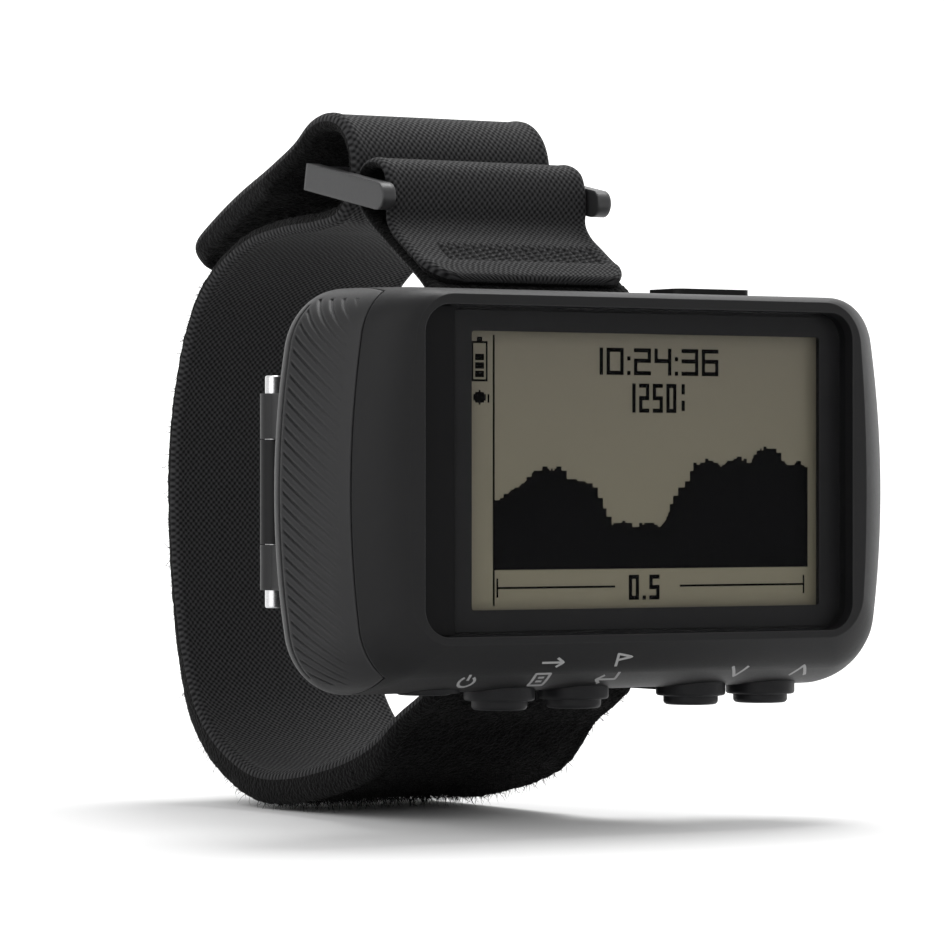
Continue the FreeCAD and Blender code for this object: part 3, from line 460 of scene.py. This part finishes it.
def digits(text, left, top, width, height, stroke):
    """Writes figures as bars, as a pocket calculator does, and returns where they end."""
    half = (height - stroke) // 2
    bars = {"a": (0, 0, width, stroke), "g": (0, half, width, stroke),
            "d": (0, height - stroke, width, stroke), "f": (0, 0, stroke, half + stroke),
            "b": (width - stroke, 0, stroke, half + stroke), "e": (0, half, stroke, height - half),
            "c": (width - stroke, half, stroke, height - half)}
    for sign in text:
        if sign in ":.":
            fill(left, top + height - stroke, stroke, stroke)
            if sign == ":":
                fill(left, top + half - 1, stroke, stroke)
            left += 2 * stroke
            continue
        for segment in SEGMENTS[sign]:
            x, y, w, h = bars[segment]
            fill(left + x, top + y, w, h)
        left += width + stroke
    return left


def hills():
    """Height of the ground over each column of dots: a listed outline with small seeded steps."""
    outline = [(0, 33), (11, 38), (20, 44), (26, 49), (31, 46), (36, 49), (41, 43), (50, 42),
               (57, 38), (62, 29), (66, 21), (74, 23), (80, 20), (89, 22), (95, 20), (99, 24),
               (102, 34), (109, 41),
               (115, 50), (124, 52), (130, 49), (139, 53), (148, 51), (154, 57), (160, 58), (166, 55),
               (170, 50), (178, 51), (184, 48)]
    chance = random.Random(11)
    ground = []
    while len(ground) < HILLS_WIDE:
        place = np.interp(len(ground), [x for x, z in outline], [z for x, z in outline])
        ground += [int(round(place)) + chance.choice((0, 0, 1))] * chance.choice((1, 2, 3))
    return ground[:HILLS_WIDE]


fill(14, 0, 1, DOTS_HIGH)                            # line beside the column of symbols
fill(2, 3, 9, 1)                                     # battery: its outline, cap and charge
fill(2, 3, 1, 19)
fill(10, 3, 1, 19)
fill(2, 21, 9, 1)
fill(5, 1, 3, 2)
for top in (9, 13, 17):
    fill(4, top, 5, 3)
for row, wide in enumerate((1, 5, 7, 7, 7, 5, 1)):   # round position mark with two wings
    fill(6 - wide // 2, 26 + row, wide, 1)
fill(1, 28, 1, 4)
fill(11, 28, 1, 4)
digits("10:24:36", 67, 5, 10, 13, 2)                  # clock, where a title stands
digits("1250", 90, 22, 6, 14, 2)
fill(123, 22, 2, 5)
fill(123, 30, 2, 5)
for column, height in enumerate(hills()):
    fill(HILLS_LEFT + column, HILLS_FOOT - height, 1, height)
fill(16, 119, 68, 1)                                 # scale bar with its two end ticks
fill(16, 115, 1, 9)
fill(122, 119, 74, 1)
fill(196, 115, 1, 9)
digits("0.5", 92, 114, 6, 12, 2)
print(int(dots.sum()), "dark dots of", dots.size)

# %% [markdown]
# Each dark patch is one tile. Runs of dots in a row are grown downwards as long as the rows below
# have the same run, which turns thousands of dots into a few hundred tiles.

# %% Tiles from the dots
def tiles():
    """Boxes of dark dots: (left, top, right, bottom)."""
    open_runs, done = {}, []
    for row in range(DOTS_HIGH + 1):
        runs = set()
        if row < DOTS_HIGH:
            edges = np.flatnonzero(np.diff(np.concatenate(([0], dots[row].astype(int), [0]))))
            runs = set(zip(edges[0::2].tolist(), edges[1::2].tolist()))
        for run in sorted(set(open_runs) - runs):
            done.append((run[0], open_runs.pop(run), run[1], row))
        for run in runs:
            open_runs.setdefault(run, row)
    return done


PITCH = VIEW_WIDTH / DOTS_WIDE


def lcd_glass():
    """Grey-green polariser, painted darker towards its top as painted shade, with the faint grid between
    its dots.
    """
    finish, tree, shader = new_material("reflective display glass", IOR=1.5, Roughness=0.4,
                                        Specular_IOR_Level=0.2)
    place = add(tree, "ShaderNodeTexCoord").outputs["Object"]
    axes = add(tree, "ShaderNodeSeparateXYZ", {"Vector": place})
    rise = add(tree, "ShaderNodeMapRange", {"Value": axes.outputs["Z"], "From Min": VIEW_BASE,
                                            "From Max": VIEW_BASE + VIEW_HEIGHT})
    # Painted shade: the colour runs from the lighter tone at the bottom to a darker one at the top.
    tone = add(tree, "ShaderNodeMix", {"Factor": rise.outputs["Result"], 6: linear("#7c7765"),
                                       7: linear("#716c5f")}, data_type="RGBA")
    flat = add(tree, "ShaderNodeCombineXYZ", {"X": axes.outputs["X"], "Y": axes.outputs["Z"]})
    grid = add(tree, "ShaderNodeTexBrick", {
        "Vector": flat.outputs[0], "Color1": (1, 1, 1, 1), "Color2": (1, 1, 1, 1),
        "Mortar": (0.86, 0.86, 0.86, 1), "Scale": 1.0, "Mortar Size": PITCH * 0.08,
        "Brick Width": PITCH, "Row Height": PITCH}, offset=0.0)
    seen = add(tree, "ShaderNodeMix", {"Factor": 1.0, 6: tone.outputs[2], 7: grid.outputs["Color"]},
               data_type="RGBA", blend_type="MULTIPLY")
    tree.links.new(seen.outputs[2], shader.inputs["Base Color"])
    return finish


TILE_LIFT = 0.03 * MM
verts, faces = [], []
front = LCD_LOW.y - TILE_LIFT
for left, top, right, bottom in tiles():
    start = len(verts)
    x0, x1 = VIEW_LEFT + left * PITCH, VIEW_LEFT + right * PITCH
    z0, z1 = VIEW_BASE + VIEW_HEIGHT - bottom * PITCH, VIEW_BASE + VIEW_HEIGHT - top * PITCH
    verts += [(x0, front, z0), (x1, front, z0), (x1, front, z1), (x0, front, z1)]
    faces.append((start, start + 1, start + 2, start + 3))
DARK_DOTS = moulded("switched liquid crystal", "#050506", 0.4, 1.5, 0.3, 0.0005,
                    edge_mm=THIN_EDGE, Specular_IOR_Level=0.02)
piece("display_picture", verts, faces, DARK_DOTS, "case")
dress("lcd_panel", lcd_glass())
print(len(faces), "tiles in the picture")

# %% [markdown]
# ## Printed key marks
# The keys are named in pale pad-printed ink on the slope above them. Print follows the surface,
# so each stroke is a narrow ribbon whose points are dropped along Y onto the moulded shell. The
# marks are plain symbols: power, page, go to, mark, enter, and the two arrows.

# %% Ink ribbons on the front shell
def shell_surface():
    """The front shell as triangles that a ray can hit."""
    mesh = NODES["front_shell"].data
    mesh.calc_loop_triangles()
    return BVHTree.FromPolygons([v.co.copy() for v in mesh.vertices],
                                [tuple(t.vertices) for t in mesh.loop_triangles])


SHELL = shell_surface()
INK_LIFT = 0.025 * MM


def arc(radius, start, end, centre=(0.0, 0.0), steps=16):
    """Points of an arc, in degrees anticlockwise from the right."""
    turns = [math.radians(start + (end - start) * k / steps) for k in range(steps + 1)]
    return [(centre[0] + radius * math.cos(a), centre[1] + radius * math.sin(a)) for a in turns]


MARKS = [
    ((-18.4, -19.2), [arc(0.62, 125, 415), [(0, 0.15), (0, 0.85)]]),
    ((-9.6, -19.15), [[(-0.6, -0.7), (0.6, -0.7), (0.6, 0.7), (-0.6, 0.7), (-0.6, -0.7)],
                     [(-0.25, 0.25), (0.25, 0.25)], [(-0.25, -0.2), (0.25, -0.2)]]),
    ((-10.2, -17.3), [[(-0.9, 0), (0.9, 0)], [(0.35, 0.5), (0.9, 0), (0.35, -0.5)]]),
    ((-1.4, -19.1), [[(0.8, 0.65), (0.8, -0.2), (-0.8, -0.2)],
                     [(-0.3, 0.3), (-0.8, -0.2), (-0.3, -0.7)]]),
    ((-1.6, -17.2), [[(-0.5, -0.7), (-0.5, 0.7), (0.7, 0.35), (-0.5, 0.0)]]),
    ((14.6, -18.75), [[(-0.7, 0.6), (0, -0.6), (0.7, 0.6)]]),
    ((22.9, -18.8), [[(-0.7, -0.6), (0, 0.6), (0.7, -0.6)]]),
]
MARK_SCALE = 1.45
RISE = 0.66             # the slope stretches a mark, so it is drawn flatter
LEAN = -0.38
STROKE = 0.34           # bold enough to read at arm's length
STROKE_STEP = 0.15      # short enough to follow the slope


def ribbon(points, width):
    """Left and right edges of a stroke, with even short steps and square corners."""
    fine = []
    for (x0, z0), (x1, z1) in zip(points, points[1:]):
        count = max(1, int(math.hypot(x1 - x0, z1 - z0) / STROKE_STEP))
        fine += [(x0 + (x1 - x0) * k / count, z0 + (z1 - z0) * k / count) for k in range(count)]
    fine.append(points[-1])
    edges = []
    for i, (x, z) in enumerate(fine):
        before, after = fine[max(i - 1, 0)], fine[min(i + 1, len(fine) - 1)]
        along = Vector((after[0] - before[0], after[1] - before[1])).normalized()
        edges.append(((x - along.y * width / 2, z + along.x * width / 2),
                      (x + along.y * width / 2, z - along.x * width / 2)))
    return edges


def dropped(x, z):
    """The point of the shell behind (x, z), lifted by the ink."""
    above = Vector((x * MM, FRONT - 0.05, z * MM))
    hit, normal = SHELL.ray_cast(above, Vector((0, 1, 0)))[:2]
    return hit + normal * INK_LIFT


def leaned(x, z, centre):
    """The same, moved sideways where the slope runs back, so a mark seen from the left leans less."""
    back = (dropped(x, z).y - dropped(*centre).y) / MM
    return dropped(x - LEAN * back, z)


verts, faces = [], []
for (x, z), strokes in MARKS:
    for stroke in strokes:
        edges = ribbon([(MARK_SCALE * px, MARK_SCALE * pz) for px, pz in stroke], STROKE)
        for i, pair in enumerate(edges):
            if i:
                n = len(verts)
                faces.append((n - 2, n - 1, n + 1, n))
            verts += [leaned(x + px, z + RISE * pz, (x, z)) for px, pz in pair]
PRINT = moulded("pale grey pad print", "#8c8c8c", 0.6, 1.5, 0.15, 0.002, edge_mm=THIN_EDGE)
piece("key_marks", verts, faces, PRINT, "case")
print(len(MARKS), "printed marks")

# %% [markdown]
# ## The strap's line
# Webbing is one length of cloth, so it is built as one mesh: out from its welded end round the
# ring, down behind the case, round the wrist and back through the ring to its free end. A smooth
# curve goes through the centre points, and is cut into even steps, so the weave is never stretched.

# %% Even steps along the strap
THIN, THICK = 0.95 * MM, 1.7 * MM       # pressed flat round the ring; full thickness elsewhere
STEP = 0.4 * MM


def through(points, fine=24):
    """A smooth curve through the points: centripetal Catmull-Rom, so tight bends don't loop."""
    p = [np.array(q, float) for q in points]
    p = [2 * p[0] - p[1]] + p + [2 * p[-1] - p[-2]]
    line = []
    for a, b, c, d in zip(p, p[1:], p[2:], p[3:]):
        t = np.cumsum([0] + [np.linalg.norm(k - j) ** 0.5 for j, k in ((a, b), (b, c), (c, d))])
        for x in np.linspace(t[1], t[2], fine, endpoint=False):
            ab = a + (b - a) * (x - t[0]) / (t[1] - t[0])
            bc = b + (c - b) * (x - t[1]) / (t[2] - t[1])
            cd = c + (d - c) * (x - t[2]) / (t[3] - t[2])
            abc = ab + (bc - ab) * (x - t[0]) / (t[2] - t[0])
            bcd = bc + (cd - bc) * (x - t[1]) / (t[3] - t[1])
            line.append(abc + (bcd - abc) * (x - t[1]) / (t[2] - t[1]))
    line.append(p[-2])
    return np.array(line)


def even_line(points):
    """Centre points in metres at even steps, with the direction along the strap at each."""
    line = through(points) * MM
    line[:, 0] += FRONT                 # Y was measured from the front rim
    reach = np.concatenate(([0], np.cumsum(np.linalg.norm(np.diff(line, axis=0), axis=1))))
    count = int(reach[-1] / STEP)
    at = np.linspace(0, reach[-1], count + 1)
    spots = np.column_stack([np.interp(at, reach, line[:, k]) for k in (0, 1)])
    along = np.gradient(spots, axis=0)
    for k in range(3):                  # the eye sees every kink in a highlight, so ease them
        along[1:-1] = (along[:-2] + 2 * along[1:-1] + along[2:]) / 4
    return spots, along / np.linalg.norm(along, axis=1)[:, None], at


STRAP_LINE = RING_FOLD + BACK_RUN + WRIST_LOOP + FREE_END
SPOTS, ALONG, REACH = even_line(STRAP_LINE)
NORMAL = np.column_stack([-ALONG[:, 1], ALONG[:, 0]])     # the woven face; the pile is on the other


def reach_of(count):
    """How far along the strap its first count points go."""
    target = np.array(STRAP_LINE[count - 1]) * MM + np.array([FRONT, 0])
    near = np.linalg.norm(SPOTS - target, axis=1)
    if count == len(RING_FOLD):         # the fold passes close to itself, so look past its first half
        near[: len(near) // 12] = 1.0
    return REACH[int(np.argmin(near))]


FOLD_END = reach_of(len(RING_FOLD))
LOOP_START = reach_of(len(RING_FOLD) + len(BACK_RUN))
LOOP_END = reach_of(len(RING_FOLD) + len(BACK_RUN) + len(WRIST_LOOP))
print("strap length", round(REACH[-1] / MM, 1), "mm in", len(REACH), "steps; fold ends at",
      round(FOLD_END / MM, 1), "mm")

# %% [markdown]
# ## The webbing
# Its cross-section is flat with rounded, slightly thicker edges, where the weft turns back and
# makes a rolled selvedge. The end round the ring is pressed thin and joined by a welded patch: a
# shallow rectangle with short ribs from the welding horn. All of that is real shape here, because
# its shadows show; only single threads are left to the bump of the material.

# %% Cross-sections of the webbing
WELD_LEFT, WELD_RIGHT = -9.0 * MM, 11.5 * MM
WELD_START, WELD_STOP = 3.4 * MM, 7.0 * MM
WELD_DEPTH, WELD_PITCH = 0.50 * MM, 1.05 * MM
END_ROLL = 0.42 * MM           # the cut end is melted into a thicker lip
HOOK_TAPE_THICKNESS = 0.8 * MM
CORNER = 3.6 * MM              # rounding of the strap's four corners


def across_places():
    """Places across the strap: even ones, and closer ones round each edge."""
    inner = np.linspace(-STRAP_HALF + 1.2 * MM, STRAP_HALF - 1.2 * MM, 94)
    turn = np.sin(np.linspace(0, math.pi / 2, 8))[1:] * 1.2 * MM
    return np.concatenate([-(STRAP_HALF - 1.2 * MM + turn[::-1]), inner, STRAP_HALF - 1.2 * MM + turn])


ACROSS = across_places()


def smooth_step(x):
    """Eases from 0 to 1 as x goes from 0 to 1."""
    x = np.clip(x, 0, 1)
    return x * x * (3 - 2 * x)


def half_thickness():
    """Half the thickness at each place, for the grid of reach by across."""
    full = THIN + (THICK - THIN) * smooth_step((REACH - FOLD_END) / (3 * MM))
    full = full + END_ROLL * smooth_step((4.2 * MM - REACH) / (1.5 * MM))
    tip = np.minimum(REACH / (0.6 * MM), (REACH[-1] - REACH) / (1.1 * MM))
    end = np.sqrt(np.clip(1 - (1 - np.clip(tip, 0, 1)) ** 2, 0.02, 1))
    edge = STRAP_HALF - np.abs(ACROSS)
    roll = np.sqrt(np.clip(1 - (1 - np.clip(edge / (0.7 * MM), 0, 1)) ** 2, 0.0, 1))
    selvedge = 1 + 0.16 * np.exp(-((edge - 0.9 * MM) / (0.45 * MM)) ** 2)
    return (full * end / 2)[:, None] * (roll * selvedge)[None, :]


def weld_relief():
    """How far the woven face is pressed in by the welding horn."""
    wall = 0.35 * MM
    inside = smooth_step((REACH - WELD_START) / wall) * smooth_step((WELD_STOP - REACH) / wall)
    sideways = smooth_step((ACROSS - WELD_LEFT) / wall) * smooth_step((WELD_RIGHT - ACROSS) / wall)
    ribs = 0.55 + 0.45 * np.cos(2 * math.pi * ACROSS / WELD_PITCH)
    return inside[:, None] * (sideways * ribs)[None, :] * WELD_DEPTH


def corner_narrowing():
    """Share of the full width at each place along, rounding the corners at both ends."""
    near = np.minimum(REACH, REACH[-1] - REACH)
    missing = CORNER - np.sqrt(np.clip(CORNER ** 2 - np.clip(CORNER - near, 0, CORNER) ** 2, 0, None))
    return 1 - missing / STRAP_HALF


HALF = half_thickness()
WOVEN_LIFT = HALF - weld_relief()
chance = np.random.default_rng(5)
pile_rough = chance.normal(0, 0.05 * MM, HALF.shape)
pile_rough = (pile_rough + np.roll(pile_rough, 1, 0) + np.roll(pile_rough, 1, 1)) / 1.7
HOOK_START = REACH[-1] - (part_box("hook_patch")[1].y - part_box("hook_patch")[0].y) * 1.15
hook_share = smooth_step((REACH - HOOK_START) / (2 * MM))[:, None] * (HALF / HALF.max())
BRUSHED = 1.75 * MM            # how far the brushed pile stands where nothing presses on it
brushed = smooth_step((REACH - LOOP_START - 6 * MM) / (10 * MM)) * (
    1 - 0.75 * smooth_step((REACH - LOOP_START - 50 * MM) / (20 * MM)))
brushed = brushed * smooth_step((LOOP_END - 40 * MM - REACH) / (12 * MM))
brushed_share = brushed[:, None] * (HALF / HALF.max())
PILE_LIFT = (HALF + np.where(HALF > 0.3 * MM, pile_rough, 0) + HOOK_TAPE_THICKNESS * hook_share
             + BRUSHED * brushed_share)
WIDTH_SHARE = corner_narrowing()
print("webbing", round(2 * HALF.min() / MM, 2), "to", round(2 * HALF.max() / MM, 2), "mm thick")

# %% [markdown]
# ## Weave and pile finishes
# The woven face is nylon in a fine plain weave: threads under half a millimetre apart, whose crowns
# are painted light and the gaps between them painted nearly black, as painted highlight and shade.
# The material knows where it is from a place stored on each point, in millimetres across and along
# the strap, so the threads run true round every bend. The other face is the loop half of
# hook-and-loop: a felt of fine loops, painted nearly black in its depths as painted shade.

# %% Nylon webbing and loop pile
THREAD_ACROSS, THREAD_ALONG = 0.34, 0.36          # spacing of the threads in millimetres


def nylon_weave():
    """Plain woven nylon, darker where the welding horn melted it."""
    finish, tree, shader = new_material("woven nylon webbing", IOR=1.53, Specular_IOR_Level=0.12,
                                        Sheen_Weight=0.02, Sheen_Roughness=0.5)
    place = add(tree, "ShaderNodeAttribute", attribute_name="weave_place").outputs["Vector"]
    sway = add(tree, "ShaderNodeTexNoise", {"Vector": place, "Scale": 0.8, "Detail": 2.0})
    swayed = add(tree, "ShaderNodeVectorMath", {0: sway.outputs["Color"], 1: (0.35, 0.35, 0.0)},
                 operation="MULTIPLY_ADD")
    tree.links.new(place, swayed.inputs[2])
    axes = add(tree, "ShaderNodeSeparateXYZ", {"Vector": swayed.outputs["Vector"]})
    turn = add(tree, "ShaderNodeMath", {0: axes.outputs["X"], 1: math.pi / THREAD_ACROSS},
               operation="MULTIPLY")
    rise = add(tree, "ShaderNodeMath", {0: axes.outputs["Y"], 1: math.pi / THREAD_ALONG},
               operation="MULTIPLY")
    over = add(tree, "ShaderNodeMath", {0: turn.outputs[0]}, operation="SINE")
    under = add(tree, "ShaderNodeMath", {0: rise.outputs[0]}, operation="COSINE")
    crowns = add(tree, "ShaderNodeMath", {0: over.outputs[0], 1: under.outputs[0]}, operation="MULTIPLY")
    fuzz = add(tree, "ShaderNodeTexNoise", {"Vector": place, "Scale": 4.0, "Detail": 4.0})
    uneven = add(tree, "ShaderNodeMath", {0: crowns.outputs[0], 1: fuzz.outputs["Fac"]}, operation="ADD")
    height = add(tree, "ShaderNodeMapRange", {"Value": uneven.outputs[0], "From Min": -0.3,
                                              "From Max": 1.3})
    # Painted shade and highlight: by thread height, the gaps are painted nearly black and the crowns a
    # lighter grey.
    wide = add(tree, "ShaderNodeTexNoise", {"Vector": place, "Scale": 0.12, "Detail": 3.0})
    painted_gap_shade = add(tree, "ShaderNodeMix", {"Factor": wide.outputs["Fac"], 6: linear("#060607"),
                                       7: linear("#0b0b0c")}, data_type="RGBA")
    tone = add(tree, "ShaderNodeMix", {"Factor": height.outputs["Result"], 6: painted_gap_shade.outputs[2],
                                       7: linear("#2e2e2f")}, data_type="RGBA")
    gloss = add(tree, "ShaderNodeMapRange", {"Value": height.outputs["Result"], "To Min": 0.9,
                                             "To Max": 0.62})
    bump = add(tree, "ShaderNodeBump", {"Height": height.outputs["Result"], "Distance": 0.12 * MM,
                                        "Strength": 0.7})
    melted = add(tree, "ShaderNodeSeparateXYZ", {"Vector": place}).outputs["Z"]
    tone = add(tree, "ShaderNodeMix", {"Factor": melted, 6: tone.outputs[2], 7: linear("#060607")},
               data_type="RGBA")
    tree.links.new(tone.outputs[2], shader.inputs["Base Color"])
    tree.links.new(gloss.outputs["Result"], shader.inputs["Roughness"])
    tree.links.new(bump.outputs["Normal"], shader.inputs["Normal"])
    return finish


def loop_pile(name, bright):
    """A felt of fine loops, painted nearly black in its depths as painted shade."""
    finish, tree, shader = new_material(name, IOR=1.53, Specular_IOR_Level=0.08,
                                        Sheen_Weight=0.02, Sheen_Roughness=0.6)
    place = add(tree, "ShaderNodeTexCoord").outputs["Object"]
    loops = add(tree, "ShaderNodeTexVoronoi", {"Vector": place, "Scale": 1 / (0.45 * MM)})
    tangle = add(tree, "ShaderNodeTexNoise", {"Vector": place, "Scale": 1 / (0.3 * MM), "Detail": 5.0})
    height = add(tree, "ShaderNodeMath", {0: loops.outputs["Distance"], 1: tangle.outputs["Fac"]},
                 operation="MULTIPLY")
    # Painted shade: where the loops are low, the colour goes to nearly black.
    tone = add(tree, "ShaderNodeMix", {"Factor": height.outputs[0], 6: linear("#030303"),
                                       7: linear(bright)}, data_type="RGBA")
    gloss = add(tree, "ShaderNodeMapRange", {"Value": tangle.outputs["Fac"], "To Min": 0.85,
                                             "To Max": 0.98})
    bump = add(tree, "ShaderNodeBump", {"Height": height.outputs[0], "Distance": 0.4 * MM,
                                        "Strength": 1.0})
    tree.links.new(tone.outputs[2], shader.inputs["Base Color"])
    tree.links.new(gloss.outputs["Result"], shader.inputs["Roughness"])
    tree.links.new(bump.outputs["Normal"], shader.inputs["Normal"])
    return finish


WEAVE = nylon_weave()
PILE = loop_pile("nylon loop pile", "#0c0c0d")
FIBRE = loop_pile("nylon fibre", "#222223")
HOOK_TAPE = loop_pile("moulded hook tape", "#1f1f20")

# %% [markdown]
# ## Building the strap
# Rings of points go round the cross-section, over the woven face and back under the pile, and
# neighbouring rings are joined by quads. The faces of the pile side get the pile finish.

# %% Strap mesh
def strap_mesh():
    """One closed skin. Each ring runs over the woven face and back over the pile face."""
    n_across = len(ACROSS)
    rows = len(REACH)
    over = np.zeros((rows, n_across, 3))
    under = np.zeros((rows, n_across, 3))
    for side, lift, sign in ((over, WOVEN_LIFT, 1), (under, PILE_LIFT, -1)):
        side[:, :, 0] = WIDTH_SHARE[:, None] * ACROSS[None, :]
        side[:, :, 1] = SPOTS[:, 0, None] + sign * NORMAL[:, 0, None] * lift
        side[:, :, 2] = SPOTS[:, 1, None] + sign * NORMAL[:, 1, None] * lift
    ring = np.concatenate([over, under[:, -2:0:-1, :]], axis=1)
    around = ring.shape[1]
    places = np.zeros((rows, around, 3))
    unrolled = np.concatenate([ACROSS, ACROSS[-2:0:-1]]) / MM
    places[:, :, 0] = unrolled[None, :]
    places[:, :, 1] = (REACH / MM)[:, None]
    places[:, :n_across, 2] = weld_relief() / WELD_DEPTH
    row, col = np.meshgrid(np.arange(rows - 1), np.arange(around), indexing="ij")
    after = (col + 1) % around
    quads = np.stack([row * around + col, row * around + after, (row + 1) * around + after,
                      (row + 1) * around + col], axis=-1).reshape(-1, 4)
    pile_side = (col.reshape(-1) >= n_across).astype(np.int32)
    pile_side[(pile_side > 0) & (REACH[row.reshape(-1)] > HOOK_START)] = 2
    mesh = bpy.data.meshes.new("strap_webbing")
    caps = [list(range(around - 1, -1, -1)), [(rows - 1) * around + k for k in range(around)]]
    mesh.from_pydata(ring.reshape(-1, 3).tolist(), [], quads.tolist() + caps)
    for finish in (WEAVE, PILE, HOOK_TAPE):
        mesh.materials.append(finish)
    mesh.polygons.foreach_set("material_index", np.concatenate([pile_side, [0, 0]]).astype(np.int32))
    mesh.polygons.foreach_set("use_smooth", [True] * len(mesh.polygons))
    stored = mesh.attributes.new("weave_place", "FLOAT_VECTOR", "POINT")
    stored.data.foreach_set("vector", places.reshape(-1).astype(np.float32))
    mesh.update()
    return mesh


strap = bpy.data.objects.new("strap_webbing", strap_mesh())
bpy.context.scene.collection.objects.link(strap)
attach(strap, "case")
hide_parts("strap_ring_end", "strap_back_run", "strap_loop", "strap_free_end", "hook_patch")
print("strap mesh has", len(strap.data.polygons), "faces")

# %% [markdown]
# ## Loose fibres
# Worn pile is never flat: fibres stand off it and blur its outline against a pale background.
# Each one is a thin three-sided spike in two lengths, leaning at random, set over the pile face and
# a few along the edges. The draws are seeded, so the strap looks the same each time.

# %% Fibres on the pile
FIBRES = 30000
draw = np.random.default_rng(21)


def fibre_roots():
    """Where each fibre stands, and which way out of the strap is."""
    reach = draw.uniform(LOOP_START - 4 * MM, HOOK_START, FIBRES)
    across = draw.uniform(-STRAP_HALF + 0.1 * MM, STRAP_HALF - 0.1 * MM, FIBRES)
    row = np.clip(np.searchsorted(REACH, reach), 0, len(REACH) - 1)
    edge = STRAP_HALF - np.abs(across)
    depth = np.interp(edge / (0.7 * MM), [0, 1], [0.3, 1.0]) * (THICK / 2 * 0.9 + BRUSHED * brushed[row])
    out = np.column_stack([np.zeros(FIBRES), -NORMAL[row, 0], -NORMAL[row, 1]])
    root = np.column_stack([across, SPOTS[row, 0], SPOTS[row, 1]]) + out * depth[:, None]
    sideways = np.column_stack([np.sign(across), np.zeros(FIBRES), np.zeros(FIBRES)])
    near_edge = (edge < 0.5 * MM)[:, None]
    out = np.where(near_edge, out + 1.2 * sideways, out)
    return root, out / np.linalg.norm(out, axis=1)[:, None]


def fibre_mesh():
    """Three-sided spikes, each bent once at its knee."""
    root, out = fibre_roots()
    lean = draw.normal(0, 0.6, (FIBRES, 3))
    first = out + lean
    first /= np.linalg.norm(first, axis=1)[:, None]
    second = first + draw.normal(0, 0.7, (FIBRES, 3))
    second /= np.linalg.norm(second, axis=1)[:, None]
    length = np.clip(draw.gamma(2.6, 0.30, FIBRES), 0.25, 2.2)[:, None] * MM
    knee = root + first * length * 0.55
    tip = knee + second * length * 0.45
    aside = np.cross(first, draw.normal(0, 1, (FIBRES, 3)))
    aside /= np.linalg.norm(aside, axis=1)[:, None]
    other = np.cross(first, aside)
    width = draw.uniform(0.022, 0.038, FIBRES)[:, None] * MM
    verts = np.zeros((FIBRES, 7, 3))
    for k in range(3):
        turn = 2 * math.pi * k / 3
        spoke = (aside * math.cos(turn) + other * math.sin(turn)) * width
        verts[:, k] = root + spoke
        verts[:, 3 + k] = knee + spoke * 0.8
    verts[:, 6] = tip
    faces = []
    for start in range(0, FIBRES * 7, 7):
        for k in range(3):
            j = (k + 1) % 3
            faces.append((start + k, start + j, start + 3 + j, start + 3 + k))
            faces.append((start + 3 + k, start + 3 + j, start + 6))
    return verts.reshape(-1, 3).tolist(), faces


verts, faces = fibre_mesh()
piece("pile_fibres", verts, faces, FIBRE, "case", smooth=True)
print(FIBRES, "fibres set")
